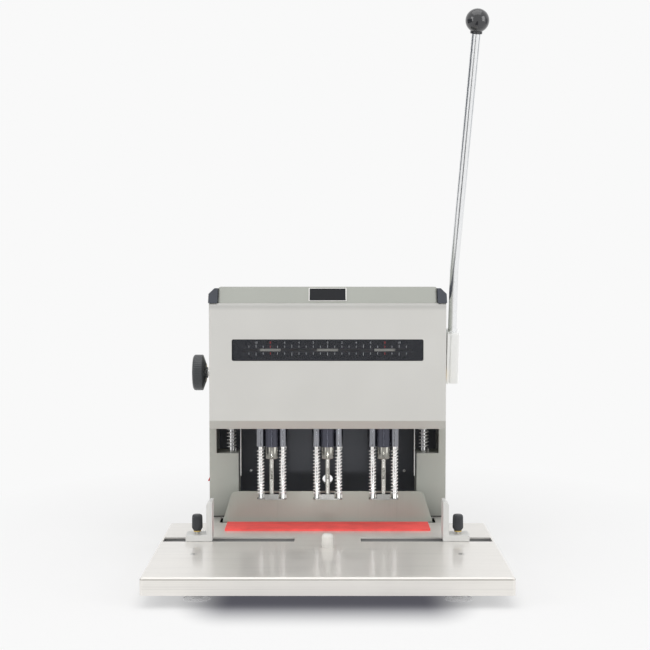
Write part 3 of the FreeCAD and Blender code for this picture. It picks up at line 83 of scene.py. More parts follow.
def new_shader(name, colour, roughness, metallic=0.0, coat=0.0, specular=0.5):
    material = bpy.data.materials.new(name)
    material.use_nodes = True
    shader = material.node_tree.nodes["Principled BSDF"]
    shader.inputs["Base Color"].default_value = colour
    shader.inputs["Roughness"].default_value = roughness
    shader.inputs["Metallic"].default_value = metallic
    shader.inputs["Coat Weight"].default_value = coat
    shader.inputs["Specular IOR Level"].default_value = specular
    return material


def add_node(material, kind, **values):
    item = material.node_tree.nodes.new(kind)
    for key, value in values.items():
        if hasattr(item, key):
            setattr(item, key, value)
        else:
            item.inputs[key.replace("_", " ")].default_value = value
    return item


def join(material, source, target):
    material.node_tree.links.new(source, target)


def shader_of(material):
    return material.node_tree.nodes["Principled BSDF"]


def noise(material, scale, stretch=(1, 1, 1), detail=3.0, roughness=0.6):
    """Noise in the object's own metres, stretched along its axes."""
    place = add_node(material, "ShaderNodeTexCoord")
    mapping = add_node(material, "ShaderNodeMapping", vector_type="TEXTURE")
    mapping.inputs["Scale"].default_value = stretch
    texture = add_node(material, "ShaderNodeTexNoise", Scale=scale, Detail=detail, Roughness=roughness)
    join(material, place.outputs["Object"], mapping.inputs["Vector"])
    join(material, mapping.outputs["Vector"], texture.inputs["Vector"])
    return texture.outputs["Fac"]


def spread(material, value, lowest, highest, start=0.3, end=0.7):
    """Map a noise value onto a range."""
    item = add_node(material, "ShaderNodeMapRange")
    item.inputs["From Min"].default_value = start
    item.inputs["From Max"].default_value = end
    item.inputs["To Min"].default_value = lowest
    item.inputs["To Max"].default_value = highest
    join(material, value, item.inputs["Value"])
    return item.outputs["Result"]


def sum_of(material, first, second, operation="ADD"):
    item = add_node(material, "ShaderNodeMath", operation=operation)
    join(material, first, item.inputs[0])
    if isinstance(second, float):
        item.inputs[1].default_value = second
    else:
        join(material, second, item.inputs[1])
    return item.outputs["Value"]


def tint(material, value, dark, light, start=0.3, end=0.7):
    """Run the base colour between two shades."""
    ramp = add_node(material, "ShaderNodeValToRGB")
    ramp.color_ramp.elements[0].position = start
    ramp.color_ramp.elements[0].color = dark
    ramp.color_ramp.elements[1].position = end
    ramp.color_ramp.elements[1].color = light
    join(material, value, ramp.inputs["Fac"])
    join(material, ramp.outputs["Color"], shader_of(material).inputs["Base Color"])


def shade(colour, share):
    return (colour[0] * share, colour[1] * share, colour[2] * share, 1)


def bump(material, value, strength, depth):
    item = add_node(material, "ShaderNodeBump", Strength=strength, Distance=depth)
    join(material, value, item.inputs["Height"])
    join(material, item.outputs["Normal"], shader_of(material).inputs["Normal"])


def roughen(material, value):
    join(material, value, shader_of(material).inputs["Roughness"])


def painted(name, colour, roughness=0.4, mottling=0.025):
    """Powder coat: an even colour, a fine orange-peel skin and a soft sheen."""
    material = new_shader(name, colour, roughness, coat=0.08)
    cloud = noise(material, 9, detail=2)
    tint(material, cloud, shade(colour, 1 - mottling), shade(colour, 1 + mottling))
    peel = noise(material, 900, detail=2)
    bump(material, peel, 0.12, 0.0002)
    roughen(material, spread(material, peel, roughness - 0.05, roughness + 0.06))
    return material


def brushed(name, colour, stretch, roughness=0.3, contrast=0.08, smudges=0.08, metallic=1.0, coat=0.0,
            rub=0.35):
    """Metal brushed one way, with soft smudges from use and longer rubs along the grain."""
    material = new_shader(name, colour, roughness, metallic, coat)
    shader_of(material).inputs["Coat Roughness"].default_value = 0.14
    hairs = noise(material, 1, stretch=stretch, detail=4, roughness=0.7)
    cloud = noise(material, 14, detail=3)
    rubs = noise(material, 9, stretch=[0.12 + 0.88 * min(1, value * 3) for value in stretch], detail=2)
    soft = sum_of(material, sum_of(material, cloud, 0.5, "MULTIPLY"),
                  sum_of(material, rubs, 0.5, "MULTIPLY"))
    mixed = sum_of(material, hairs, sum_of(material, soft, rub, "MULTIPLY"))
    tint(material, mixed, shade(colour, 1 - contrast), shade(colour, 1 + contrast), 0.5, 0.85)
    rough = spread(material, hairs, roughness - 0.07, roughness + 0.07)
    wiped = spread(material, cloud, -smudges, smudges)
    roughen(material, sum_of(material, rough, wiped))
    bump(material, hairs, 0.2, 0.00005)
    return material


def polished(name, colour, roughness=0.08, scratches=0.05, metallic=1.0):
    """Plated or ground metal with the faint marks of handling."""
    material = new_shader(name, colour, roughness, metallic)
    marks = noise(material, 160, detail=5, roughness=0.75)
    tint(material, marks, shade(colour, 0.95), shade(colour, 1.03))
    roughen(material, spread(material, marks, roughness, roughness + scratches))
    return material


def moulded(name, colour, roughness=0.35, grain=0.15, coat=0.0, specular=0.5):
    """Moulded plastic or rubber with a fine grain."""
    material = new_shader(name, colour, roughness, coat=coat, specular=specular)
    skin = noise(material, 1400, detail=2)
    cloud = noise(material, 40, detail=2)
    tint(material, cloud, shade(colour, 0.9), shade(colour, 1.12))
    bump(material, skin, grain, 0.0001)
    roughen(material, spread(material, cloud, roughness - 0.05, roughness + 0.08))
    return material


# The colour sockets of a mix node
MIX_FIRST = 6
MIX_SECOND = 7
MIX_RESULT = 2


def band_by_height(material, steps):
    """Paint shade into the base colour: multiply it by a tone that follows the object's height, in metres
    from the desk.
    """
    shader = shader_of(material)
    source = shader.inputs["Base Color"].links[0].from_socket
    place = add_node(material, "ShaderNodeTexCoord")
    split = add_node(material, "ShaderNodeSeparateXYZ")
    join(material, place.outputs["Object"], split.inputs["Vector"])
    start, end = steps[0][0], steps[-1][0]
    share = spread(material, split.outputs["Z"], 0, 1, start, end)
    ramp = add_node(material, "ShaderNodeValToRGB")
    stops = ramp.color_ramp.elements
    while len(stops) < len(steps):
        stops.new(0.5)
    for stop, (height, tone) in zip(stops, steps):
        stop.position = (height - start) / (end - start)
        stop.color = (*tone, 1)
    join(material, share, ramp.inputs["Fac"])
    mixed = add_node(material, "ShaderNodeMix", data_type="RGBA", blend_type="MULTIPLY")
    mixed.inputs["Factor"].default_value = 1
    join(material, source, mixed.inputs[MIX_FIRST])
    join(material, ramp.outputs["Color"], mixed.inputs[MIX_SECOND])
    join(material, mixed.outputs[MIX_RESULT], shader.inputs["Base Color"])


def smoked_glass(name, colour, alpha):
    """A clear, tinted sheet or rubber."""
    material = new_shader(name, colour, 0.12, specular=0.4)
    shader_of(material).inputs["Alpha"].default_value = alpha
    film = noise(material, 30, detail=3)
    roughen(material, spread(material, film, 0.08, 0.16))
    return material


ALONG_X = (0.35, 0.0008, 0.0008)
ALONG_Y = (0.0008, 0.35, 0.0008)
ALONG_Z = (0.0008, 0.0008, 0.35)

MATERIALS = {
    "stainless": brushed("stainless_sheet", srgb(226, 223, 218), ALONG_X, 0.46, 0.04, 0.05, 0.52, 0.6),
    # The table's sheet, which gets a painted dark reflection along its front fold
    "folded_steel": brushed("folded_steel", srgb(226, 223, 218), ALONG_X, 0.44, 0.09, 0.07, 0.52, 0.6, 0.7),
    "panel": painted("panel_paint", srgb(204, 203, 199)),
    # The panel paint again, for the front cover, which gets painted shade up its height
    "cover_paint": painted("cover_paint", srgb(204, 203, 199)),
    # Darkened as painted shade for the band's upward slope, which the top light catches more than the panels
    "band": painted("band_shaded_paint", srgb(163, 165, 158), 0.46),
    "frame_paint": painted("frame_paint", srgb(186, 188, 180), 0.45),
    "cap": moulded("cap_plastic", srgb(66, 69, 76), 0.55, specular=0.3),
    "window": smoked_glass("smoked_window", srgb(58, 60, 68), 0.25),
    "scale": moulded("scale_black", srgb(38, 40, 44), 0.6),
    "tick": moulded("scale_white", srgb(190, 192, 196), 0.6),
    "tick_red": moulded("scale_red", srgb(205, 62, 62), 0.6),
    "pointer": moulded("pointer_white", srgb(228, 227, 218), 0.6),
    "knob_gloss": moulded("knob_gloss", srgb(40, 44, 48), 0.28, 0.02, 0.4),
    "bright_screw": polished("bright_screw", srgb(252, 252, 252), 0.2, 0.05, 0.5),
    "plate_face": moulded("plate_gloss", srgb(34, 35, 38), 0.5, 0.02, specular=0.15),
    "silver": polished("silver_rim", srgb(232, 231, 228), 0.4, 0.05, 0.3),
    "chuck": polished("chuck_steel", srgb(142, 140, 134), 0.18, 0.05),
    "black_panel": painted("inner_black", srgb(100, 103, 110), 0.6),
    "zinc": polished("bright_zinc", srgb(205, 205, 202), 0.25, 0.1),
    "chrome": polished("chrome_plate", srgb(244, 244, 243), 0.07, 0.03),
    "lever_chrome": polished("lever_chrome", srgb(240, 241, 242), 0.2, 0.04),
    "clear_rubber": smoked_glass("clear_rubber", srgb(214, 214, 216), 0.35),
    "steel_wire": polished("spring_wire", srgb(253, 253, 252), 0.24, 0.05, 0.3),
    "tool_steel": polished("ground_steel", srgb(198, 197, 192), 0.22, 0.08),
    "brass": polished("turned_brass", srgb(214, 186, 116), 0.25, 0.08),
    "aluminium": brushed("satin_aluminium", srgb(218, 218, 216), ALONG_Z, 0.5, 0.03, 0.03, 0.4),
    "hub": brushed("hub_plating", srgb(253, 253, 252), ALONG_Z, 0.34, 0.02, 0.03, 0.0),
    "satin_steel": polished("satin_steel", srgb(150, 150, 148), 0.22, 0.06),
    "rail": brushed("rail_steel", srgb(168, 168, 168), ALONG_X, 0.5, 0.05, 0.05, 0.4),
    "tube_steel": polished("tube_steel", srgb(140, 141, 146), 0.16, 0.05),
    "anodised": brushed("dark_anodised", srgb(78, 79, 88), ALONG_Z, 0.24, 0.08, 0.04),
    "fence": brushed("fence_brushed", srgb(162, 169, 161), ALONG_Z, 0.5, 0.12, 0.06, 0.45, 0.0, 0.8),
    "mat": moulded("red_mat", srgb(248, 96, 92), 0.75, 0.5, specular=0.3),
    "tray_paint": painted("tray_paint", srgb(52, 53, 57), 0.55),
    "stop": moulded("white_stop", srgb(214, 212, 207), 0.35, 0.05),
    "black_plastic": moulded("black_plastic", srgb(52, 54, 58), 0.38, 0.1),
    "ball": moulded("black_ball", srgb(44, 44, 47), 0.16, 0.0, 0.6),
    "switch_red": moulded("switch_red", srgb(206, 28, 30), 0.22, 0.02, 0.3),
    "motor": polished("motor_can", srgb(150, 150, 152), 0.3, 0.1),
}

NODE_FINISHES = {
    "stainless": ["rear_deck"],
    "folded_steel": ["table_top"],
    "panel": ["rear_cover"],
    "cover_paint": ["front_cover"],
    "band": ["top_cover"],
    "frame_paint": ["side_frame_left", "side_frame_right"],
    "cap": ["corner_caps"],
    "window": ["window_pane"],
    "scale": ["scale_plate"],
    "silver": ["nameplate"],
    "black_panel": ["inner_back_panel"],
    "zinc": ["table_screws", "rear_screws", "motor_power_supply", "pitch_screw"],
    "chuck": ["spindle_left", "spindle_middle", "spindle_right"],
    "chrome": ["guide_columns", "foot_studs", "slide_rails"],
    "lever_chrome": ["lever_rod"],
    "satin_steel": ["presser_foot_left", "presser_foot_middle", "presser_foot_right"],
    "steel_wire": ["return_springs", "foot_springs_left", "foot_springs_middle", "foot_springs_right"],
    "tool_steel": ["lever_shaft", "pinion_gear", "rack_bar", "drill_bit_left", "drill_bit_middle",
                   "drill_bit_right"],
    "brass": ["shaft_bushings", "carriage_bushings", "thumb_screw_left", "thumb_screw_right"],
    "aluminium": ["guide_left", "guide_right"],
    "hub": ["lever_hub"],
    "rail": ["guide_rails"],
    "anodised": ["carriage_frame", "spindle_housing_left", "spindle_housing_middle", "spindle_housing_right"],
    "fence": ["back_fence"],
    "mat": ["drilling_mat"],
    "tray_paint": ["base_tray"],
    "clear_rubber": ["rubber_feet"],
    "stop": ["centre_stop"],
    "black_plastic": ["pitch_knob", "power_inlet", "switch_housing"],
    "ball": ["lever_ball"],
    "switch_red": ["switch_rocker"],
    "motor": ["drill_motor_left", "drill_motor_middle", "drill_motor_right"],
}

FULL_TONE = (1, 1, 1)
# Painted shadow in the gap where a side frame meets the deck
GAP_SHADOW_TONE = (0.06, 0.06, 0.06)
# Painted shade on the front cover's downturned lip and on its rolled top bend
LIP_SHADE_TONE = (0.86, 0.88, 0.86)
BEND_SHADE_TONE = (0.8, 0.8, 0.8)
# Painted dark reflection along the table's front fold
FOLD_REFLECTION_TONE = (0.6, 0.59, 0.58)

# Painted shade, shadow and reflection up the height of three sheets, each as (metres above the desk, tone)
# Side frames: a painted shadow at the deck, then painted shade fading upward from it
FRAME_SHADE_TONES = (
    (0.0385, GAP_SHADOW_TONE), (0.0395, GAP_SHADOW_TONE), (0.040, (0.62, 0.62, 0.62)), (0.060, (0.86, 0.86, 0.86)),
    (0.085, FULL_TONE), (0.34, (0.98, 0.98, 0.98)),
)
# Front cover: painted shade on the lip and on the rolled top bend
COVER_SHADE_TONES = (
    (0.170, LIP_SHADE_TONE), (0.192, LIP_SHADE_TONE), (0.194, FULL_TONE), (0.347, (0.98, 0.98, 0.98)),
    (0.352, BEND_SHADE_TONE), (0.3565, BEND_SHADE_TONE), (0.357, FULL_TONE),
)
# Table: a painted dark reflection in a thin line along its front fold
TABLE_REFLECTION_TONES = (
    (0.0157, FULL_TONE), (0.0341, FULL_TONE), (0.0345, FOLD_REFLECTION_TONE), (0.0359, FOLD_REFLECTION_TONE),
    (0.0363, FULL_TONE), (0.0381, FULL_TONE),
)

# Edge rounding of the carried-over nodes, in millimetres
EDGE_ROUNDS = {
    "rear_deck": 1.0, "corner_caps": 0.6, "side_frame_left": 0.8, "side_frame_right": 0.8,
    "back_fence": 0.4, "guide_left": 0.5, "guide_right": 0.5, "drilling_mat": 0.4,
    "presser_foot_left": 0.4, "presser_foot_middle": 0.4, "presser_foot_right": 0.4, "lever_hub": 0.5,
    "carriage_frame": 0.5, "nameplate": 0.2, "switch_housing": 0.3, "switch_rocker": 0.3,
    "power_inlet": 0.4, "rubber_feet": 0.3, "foot_studs": 0.6, "motor_power_supply": 0.5,
    "spindle_left": 0.3, "spindle_middle": 0.3, "spindle_right": 0.3,
}
EDGE_DEGREES = 35
WELD_DISTANCE = 0.00001


def finish_nodes():
    for finish, names in NODE_FINISHES.items():
        for name in names:
            item = NODES[name]
            item.data.materials.clear()
            item.data.materials.append(MATERIALS[finish])


def tone_sheets():
    """Paint shade into each sheet where it folds away from the light or meets what it stands on, and a dark
    reflection into the table's front fold.
    """
    band_by_height(MATERIALS["frame_paint"], FRAME_SHADE_TONES)
    band_by_height(MATERIALS["cover_paint"], COVER_SHADE_TONES)
    band_by_height(MATERIALS["folded_steel"], TABLE_REFLECTION_TONES)


GUIDE_TUBE_RADIUS = 6 * MM
GUIDE_TUBE_SIDE = 15.7 * MM
ROUND_TOLERANCE = 0.3 * MM


def finish_guide_tubes():
    """Give the round tubes at each drill's sides a brighter steel than the dark body between them."""
    spindle_y = centre("spindle_middle").y
    for name in UNIT_BODIES:
        item = NODES[f"spindle_housing_{name}"]
        middle = centre(f"spindle_housing_{name}").x
        item.data.materials.append(MATERIALS["tube_steel"])
        place = item.matrix_world
        for face in item.data.polygons:
            spot = place @ face.center
            along = abs(spot.x - middle) - GUIDE_TUBE_SIDE
            off = math.hypot(along, spot.y - spindle_y)
            if abs(off - GUIDE_TUBE_RADIUS) < ROUND_TOLERANCE and spot.y < spindle_y:
                face.material_index = 1


GUIDE_ROD_RADIUS = 3.3 * MM


def finish_guide_rods():
    """Plate the two rods that stand on each presser foot."""
    spindle_y = centre("spindle_middle").y
    for name in UNIT_BODIES:
        item = NODES[f"presser_foot_{name}"]
        middle = centre(f"presser_foot_{name}").x
        item.data.materials.append(MATERIALS["chrome"])
        place = item.matrix_world
        for face in item.data.polygons:
            spot = place @ face.center
            along = abs(spot.x - middle) - GUIDE_TUBE_SIDE
            if abs(math.hypot(along, spot.y - spindle_y) - GUIDE_ROD_RADIUS) < ROUND_TOLERANCE:
                face.material_index = 1


def round_node_edges():
    for name, width in EDGE_ROUNDS.items():
        item = NODES[name]
        weld = item.modifiers.new("weld", "WELD")
        weld.merge_threshold = WELD_DISTANCE
        bevel = item.modifiers.new("round", "BEVEL")
        bevel.width = width * MM
        bevel.segments = 2
        bevel.limit_method = "ANGLE"
        bevel.angle_limit = math.radians(EDGE_DEGREES)
        bevel.harden_normals = True


# Meshes made here

def new_piece(name, mesh_data, material, body):
    """Turn a bmesh into a piece with one material that rides on a body."""
    mesh = bpy.data.meshes.new(name)
    bmesh.ops.recalc_face_normals(mesh_data, faces=mesh_data.faces)
    mesh_data.to_mesh(mesh)
    mesh_data.free()
    mesh.materials.append(MATERIALS[material])
    piece = bpy.data.objects.new(name, mesh)
    bpy.context.scene.collection.objects.link(piece)
    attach(piece, body)
    return piece


def smooth_by_angle(piece, degrees=35):
    mesh = piece.data
    for face in mesh.polygons:
        face.use_smooth = True
    mesh.set_sharp_from_angle(angle=math.radians(degrees))


def add_box(target, lowest, highest, edge=0.0):
    """A box between two corners, with its edges rounded."""
    made = bmesh.ops.create_cube(target, size=1)
    middle = (Vector(lowest) + Vector(highest)) / 2
    size = Vector(highest) - Vector(lowest)
    matrix = Matrix.Translation(middle) @ Matrix.Diagonal((*size, 1))
    bmesh.ops.transform(target, matrix=matrix, verts=made["verts"])
    if edge:
        edges = list({item for vert in made["verts"] for item in vert.link_edges})
        bmesh.ops.bevel(target, geom=edges, offset=edge, segments=2, profile=0.5, affect="EDGES")


def lathe(profile, steps, flutes=0, flute_depth=0.0, fluted=()):
    """Turn a profile of (distance along the axis, radius) round local Z. Fluted rows get a wavy rim."""
    target = bmesh.new()
    rows = []
    for row_number, (along, radius) in enumerate(profile):
        row = []
        for step in range(steps):
            turn = 2 * math.pi * step / steps
            reach = radius
            if row_number in fluted:
                reach -= flute_depth * (0.5 + 0.5 * math.cos(flutes * turn)) ** 3
            row.append(target.verts.new((reach * math.cos(turn), reach * math.sin(turn), along)))
        rows.append(row)
    for near_row, far_row in zip(rows, rows[1:]):
        for step in range(steps):
            following = (step + 1) % steps
            target.faces.new((near_row[step], near_row[following], far_row[following], far_row[step]))
    target.faces.new(rows[0])
    target.faces.new(list(reversed(rows[-1])))
    return target


def aim(target, place, axis):
    """Move a turned mesh so that its local Z runs along an axis from a place."""
    turn = Vector((0, 0, 1)).rotation_difference(Vector(axis)).to_matrix().to_4x4()
    bmesh.ops.transform(target, matrix=Matrix.Translation(place) @ turn, verts=target.verts)
    return target


# Window, scale and nameplate

TICK_STEP = 10 * MM
TICK_COUNT = 23
TICK_THICK = 0.15 * MM
TICK_HALF_WIDE = 0.35 * MM
TICK_TALL = 3 * MM
TICK_TALL_FIFTH = 4.4 * MM
TICK_GAP = 3.2 * MM
RED_TICK = 8
NUMBER_REACH = 10
NUMBER_TALL = 4.2 * MM
NUMBER_RISE = 10.4 * MM


def make_scale():
    plate_low, plate_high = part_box("scale_plate")
    pane_low, pane_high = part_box("window_pane")
    middle = (pane_low.z + pane_high.z) / 2
    front = plate_low.y
    marks, reds = bmesh.new(), bmesh.new()
    half = TICK_COUNT // 2
    for number in range(-half, half + 1):
        x = number * TICK_STEP
        tall = TICK_TALL_FIFTH if number % 5 == 0 else TICK_TALL
        red = abs(number) == RED_TICK
        for side in (-1, 1):
            start = middle + side * TICK_GAP
            end = start + side * tall
            add_box(reds if red else marks, (x - TICK_HALF_WIDE, front - TICK_THICK, min(start, end)),
                    (x + TICK_HALF_WIDE, front, max(start, end)))
    new_piece("scale_ticks", marks, "tick", "base")
    new_piece("scale_red_marks", reds, "tick_red", "base")
    for number in range(-NUMBER_REACH, NUMBER_REACH + 1, 2):
        text = bpy.data.curves.new(f"scale_number_{number + NUMBER_REACH}", "FONT")
        text.body = str(abs(number))
        text.size = NUMBER_TALL
        text.align_x = "CENTER"
        text.align_y = "CENTER"
        text.extrude = TICK_THICK / 2
        text.materials.append(MATERIALS["tick_red" if abs(number) == RED_TICK else "tick"])
        piece = bpy.data.objects.new(text.name, text)
        bpy.context.scene.collection.objects.link(piece)
        piece.location = (number * TICK_STEP, front - TICK_THICK / 2, middle + NUMBER_RISE)
        piece.rotation_euler = (math.pi / 2, 0, 0)
        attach(piece, "base")


POINTER_HALF_WIDE = 14.6 * MM
POINTER_HALF_TALL = 1.9 * MM
POINTER_THICK = 0.3 * MM


def make_pointers():
    """The pale face of each unit's pointer, seen through the pane."""
    pane_low, pane_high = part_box("window_pane")
    middle = (pane_low.z + pane_high.z) / 2
    for name, body in UNIT_BODIES.items():
        node = f"spindle_housing_{name}"
        x = centre(node).x
        front = low(node).y
        bar = bmesh.new()
        add_box(bar, (x - POINTER_HALF_WIDE, front - POINTER_THICK, middle - POINTER_HALF_TALL),
                (x + POINTER_HALF_WIDE, front, middle + POINTER_HALF_TALL), 0.1 * MM)
        new_piece(f"pointer_face_{name}", bar, "pointer", body)


NAMEPLATE_RIM = 1.3 * MM


def make_nameplate():
    """The dark face inside the plate's silver rim."""
    plate_low, plate_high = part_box("nameplate")
    slope = Vector((0, plate_high.y, plate_high.z)) - Vector((0, plate_low.y, plate_low.z))
    up = slope.normalized()
    out = Vector((0, -up.z, up.y))
    across = Vector((1, 0, 0))
    middle = (plate_low + plate_high) / 2
    wide = plate_high.x - plate_low.x - 2 * NAMEPLATE_RIM
    tall = slope.length - 2.2 * NAMEPLATE_RIM
    face = bmesh.new()
    add_box(face, (-wide / 2, -tall / 2, -0.3 * MM), (wide / 2, tall / 2, 0.35 * MM), 0.15 * MM)
    turn = Matrix((across, up, out)).transposed().to_4x4()
    bmesh.ops.transform(face, matrix=Matrix.Translation(middle + out * 0.6 * MM) @ turn, verts=face.verts)
    new_piece("nameplate_face", face, "plate_face", "base")


# Knobs

KNOB_HUB = 2 * MM
KNOB_CONE = 5 * MM
KNOB_HUB_RADIUS = 8 * MM
KNOB_NECK_RADIUS = 12.5 * MM
KNOB_ROUND = 4 * MM


def make_pitch_knob():
    """The finely ribbed grip of the pitch knob, with its rounded outer rim and dished face."""
    knob_low, knob_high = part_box("pitch_knob")
    middle = (knob_low + knob_high) / 2
    radius = (knob_high.z - knob_low.z) / 2
    long = knob_high.x - knob_low.x
    round_start = long - KNOB_ROUND
    profile = [
        (0, KNOB_HUB_RADIUS), (KNOB_HUB, KNOB_HUB_RADIUS), (KNOB_HUB, KNOB_NECK_RADIUS),
        (KNOB_HUB + 0.9 * KNOB_CONE, 0.965 * radius), (KNOB_HUB + KNOB_CONE + 0.3 * MM, radius),
        (KNOB_HUB + KNOB_CONE + 1 * MM, radius), (round_start, radius),
    ]
    for step in range(1, 6):
        turn = math.radians(18 * step)
        profile.append((round_start + KNOB_ROUND * math.sin(turn),
                        radius - KNOB_ROUND * (1 - math.cos(turn))))
    profile += [(long, 0.7 * radius), (long - 1.6 * MM, 0.64 * radius), (long - 2 * MM, 0.3 * radius),
                (long - 2 * MM, 0.02 * radius)]
    turned = lathe(profile, 288, flutes=48, flute_depth=0.014 * radius, fluted=(5, 6, 7))
    aim(turned, Vector((knob_high.x, middle.y, middle.z)), (-1, 0, 0))
    knob = new_piece("pitch_knob_grip", turned, "knob_gloss", "pitch_adjuster")
    smooth_by_angle(knob, 40)
    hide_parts("pitch_knob")
    head = [(0, 3 * MM), (1.4 * MM, 3 * MM), (1.8 * MM, 2.5 * MM), (1.8 * MM, 0.1 * MM)]
    screw = lathe(head, 32)
    aim(screw, Vector((knob_low.x + 2 * MM, middle.y, middle.z)), (-1, 0, 0))
    smooth_by_angle(new_piece("pitch_knob_screw", screw, "zinc", "pitch_adjuster"))


THUMB_TALL = 22.1 * MM
THUMB_CONE = 3.4 * MM
THUMB_COLLAR = 1.6 * MM
THUMB_COLLAR_RADIUS = 5.2 * MM
THUMB_STUD_RADIUS = 3 * MM


def make_thumb_knobs():
    """A black fluted grip over a brass collar and a steel stud."""
    for name, side in SIDES.items():
        node = f"thumb_screw_{name}"
        screw_low, screw_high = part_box(node)
        x, y = centre(node).x, centre(node).y
        radius = (screw_high.x - screw_low.x) / 2
        foot = screw_high.z - THUMB_TALL
        body_tall = THUMB_TALL - THUMB_CONE
        profile = [
            (0, 0.66 * radius), (THUMB_CONE, 0.97 * radius), (THUMB_CONE + 0.06 * body_tall, radius),
            (THUMB_CONE + 0.78 * body_tall, 0.97 * radius), (THUMB_CONE + 0.9 * body_tall, 0.92 * radius),
            (THUMB_CONE + 0.97 * body_tall, 0.8 * radius), (THUMB_TALL, 0.62 * radius),
            (THUMB_TALL, 0.05 * radius),
        ]
        turned = lathe(profile, 144, flutes=24, flute_depth=0.07 * radius, fluted=(2, 3, 4))
        aim(turned, Vector((x, y, foot)), (0, 0, 1))
        knob = new_piece(f"thumb_knob_{name}", turned, "black_plastic", f"clamp_{name}")
        smooth_by_angle(knob, 40)
        collar = lathe([(0, 0.9 * THUMB_COLLAR_RADIUS), (0.2 * THUMB_COLLAR, THUMB_COLLAR_RADIUS),
                        (THUMB_COLLAR, THUMB_COLLAR_RADIUS), (THUMB_COLLAR, 1 * MM)], 48)
        aim(collar, Vector((x, y, foot - THUMB_COLLAR)), (0, 0, 1))
        ring = new_piece(f"thumb_collar_{name}", collar, "brass", f"clamp_{name}")
        smooth_by_angle(ring)
        stud_top = foot - THUMB_COLLAR - screw_low.z
        stud = lathe([(0, 0.8 * THUMB_STUD_RADIUS), (0.5 * MM, THUMB_STUD_RADIUS),
                      (stud_top, THUMB_STUD_RADIUS)], 48)
        aim(stud, Vector((x, y, screw_low.z)), (0, 0, 1))
        stem = new_piece(f"thumb_stud_{name}", stud, "zinc", f"clamp_{name}")
        smooth_by_angle(stem)
        for piece in (knob, ring, stem):
            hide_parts(node)


# Small fasteners and marks

def add_screw_head(name, place, axis, radius, tall, material, body):
    profile = [(0, radius), (0.55 * tall, radius), (0.85 * tall, 0.85 * radius), (tall, 0.6 * radius),
               (tall, 0.42 * radius), (0.45 * tall, 0.36 * radius), (0.45 * tall, 0.04 * radius)]
    turned = lathe(profile, 36)
    aim(turned, Vector(place), axis)
    smooth_by_angle(new_piece(name, turned, material, body))


INNER_SCREW_X = 121 * MM
INNER_SCREW_Z = 83 * MM
INNER_SCREW_RADIUS = 2.3 * MM
INNER_SCREW_TALL = 1.6 * MM


def make_inner_screws():
    front = low("inner_back_panel").y
    for name, side in SIDES.items():
        add_screw_head(f"inner_screw_{name}", (side * INNER_SCREW_X, front, INNER_SCREW_Z), (0, -1, 0),
                       INNER_SCREW_RADIUS, INNER_SCREW_TALL, "bright_screw", "base")


LEG_FRONT = 99 * MM
LEG_INNER = 126.6 * MM
LEG_OUTER = 127.9 * MM
LEG_LOW = 100.5 * MM
LEG_HIGH = 174.5 * MM
LEG_EDGE_THICK = 0.4 * MM


def make_leg_edges():
    """The bright front edges of the carriage's thin side plates."""
    for name, side in SIDES.items():
        strip = bmesh.new()
        inner, outer = side * LEG_INNER, side * LEG_OUTER
        add_box(strip, (min(inner, outer), LEG_FRONT - LEG_EDGE_THICK, LEG_LOW),
                (max(inner, outer), LEG_FRONT, LEG_HIGH), 0.1 * MM)
        new_piece(f"leg_edge_{name}", strip, "aluminium", "carriage")


# Corners of the rocker's side outline: x and z
ROCKER_TOP = Vector((-174.4, 99)) * MM
ROCKER_MIDDLE = Vector((-176.4, 92.5)) * MM
ROCKER_LOW = Vector((-179.3, 86)) * MM
ROCKER_MARK_RADIUS = 1.7 * MM
ROCKER_MARK_LIFT = 0.12 * MM


def make_rocker_marks():
    """A ring on the upper half of the rocker's face and a bar on the lower half."""
    rocker_low, rocker_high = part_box("switch_rocker")
    middle = (rocker_low + rocker_high) / 2
    ring = bmesh.new()
    bmesh.ops.create_circle(ring, cap_ends=False, radius=ROCKER_MARK_RADIUS, segments=28)
    made = bmesh.ops.extrude_edge_only(ring, edges=ring.edges[:])
    inner = [item for item in made["geom"] if isinstance(item, bmesh.types.BMVert)]
    bmesh.ops.scale(ring, vec=(0.7, 0.7, 1), verts=inner)
    bar = bmesh.new()
    add_box(bar, (-0.25 * MM, -ROCKER_MARK_RADIUS, -0.02 * MM), (0.25 * MM, ROCKER_MARK_RADIUS, 0.02 * MM))
    marks = (("rocker_ring", ring, ROCKER_MIDDLE, ROCKER_TOP, 1),
             ("rocker_bar", bar, ROCKER_MIDDLE, ROCKER_LOW, -1))
    onto_face = Matrix.Rotation(-math.pi / 2, 4, "Y") @ Matrix.Rotation(-math.pi / 2, 4, "Z")
    for label, shape, start, end, way in marks:
        tilt = way * math.atan2(end.x - start.x, abs(end.y - start.y))
        place = (start + end) / 2
        turn = Matrix.Rotation(tilt, 4, "Y") @ onto_face
        shift = Matrix.Translation((place.x - ROCKER_MARK_LIFT, middle.y, place.y))
        bmesh.ops.transform(shape, matrix=shift @ turn, verts=shape.verts)
        new_piece(label, shape, "tick", "rocker")


# Studio

BACKGROUND = srgb(249, 249, 249)
SKY_STRENGTH = 0.62


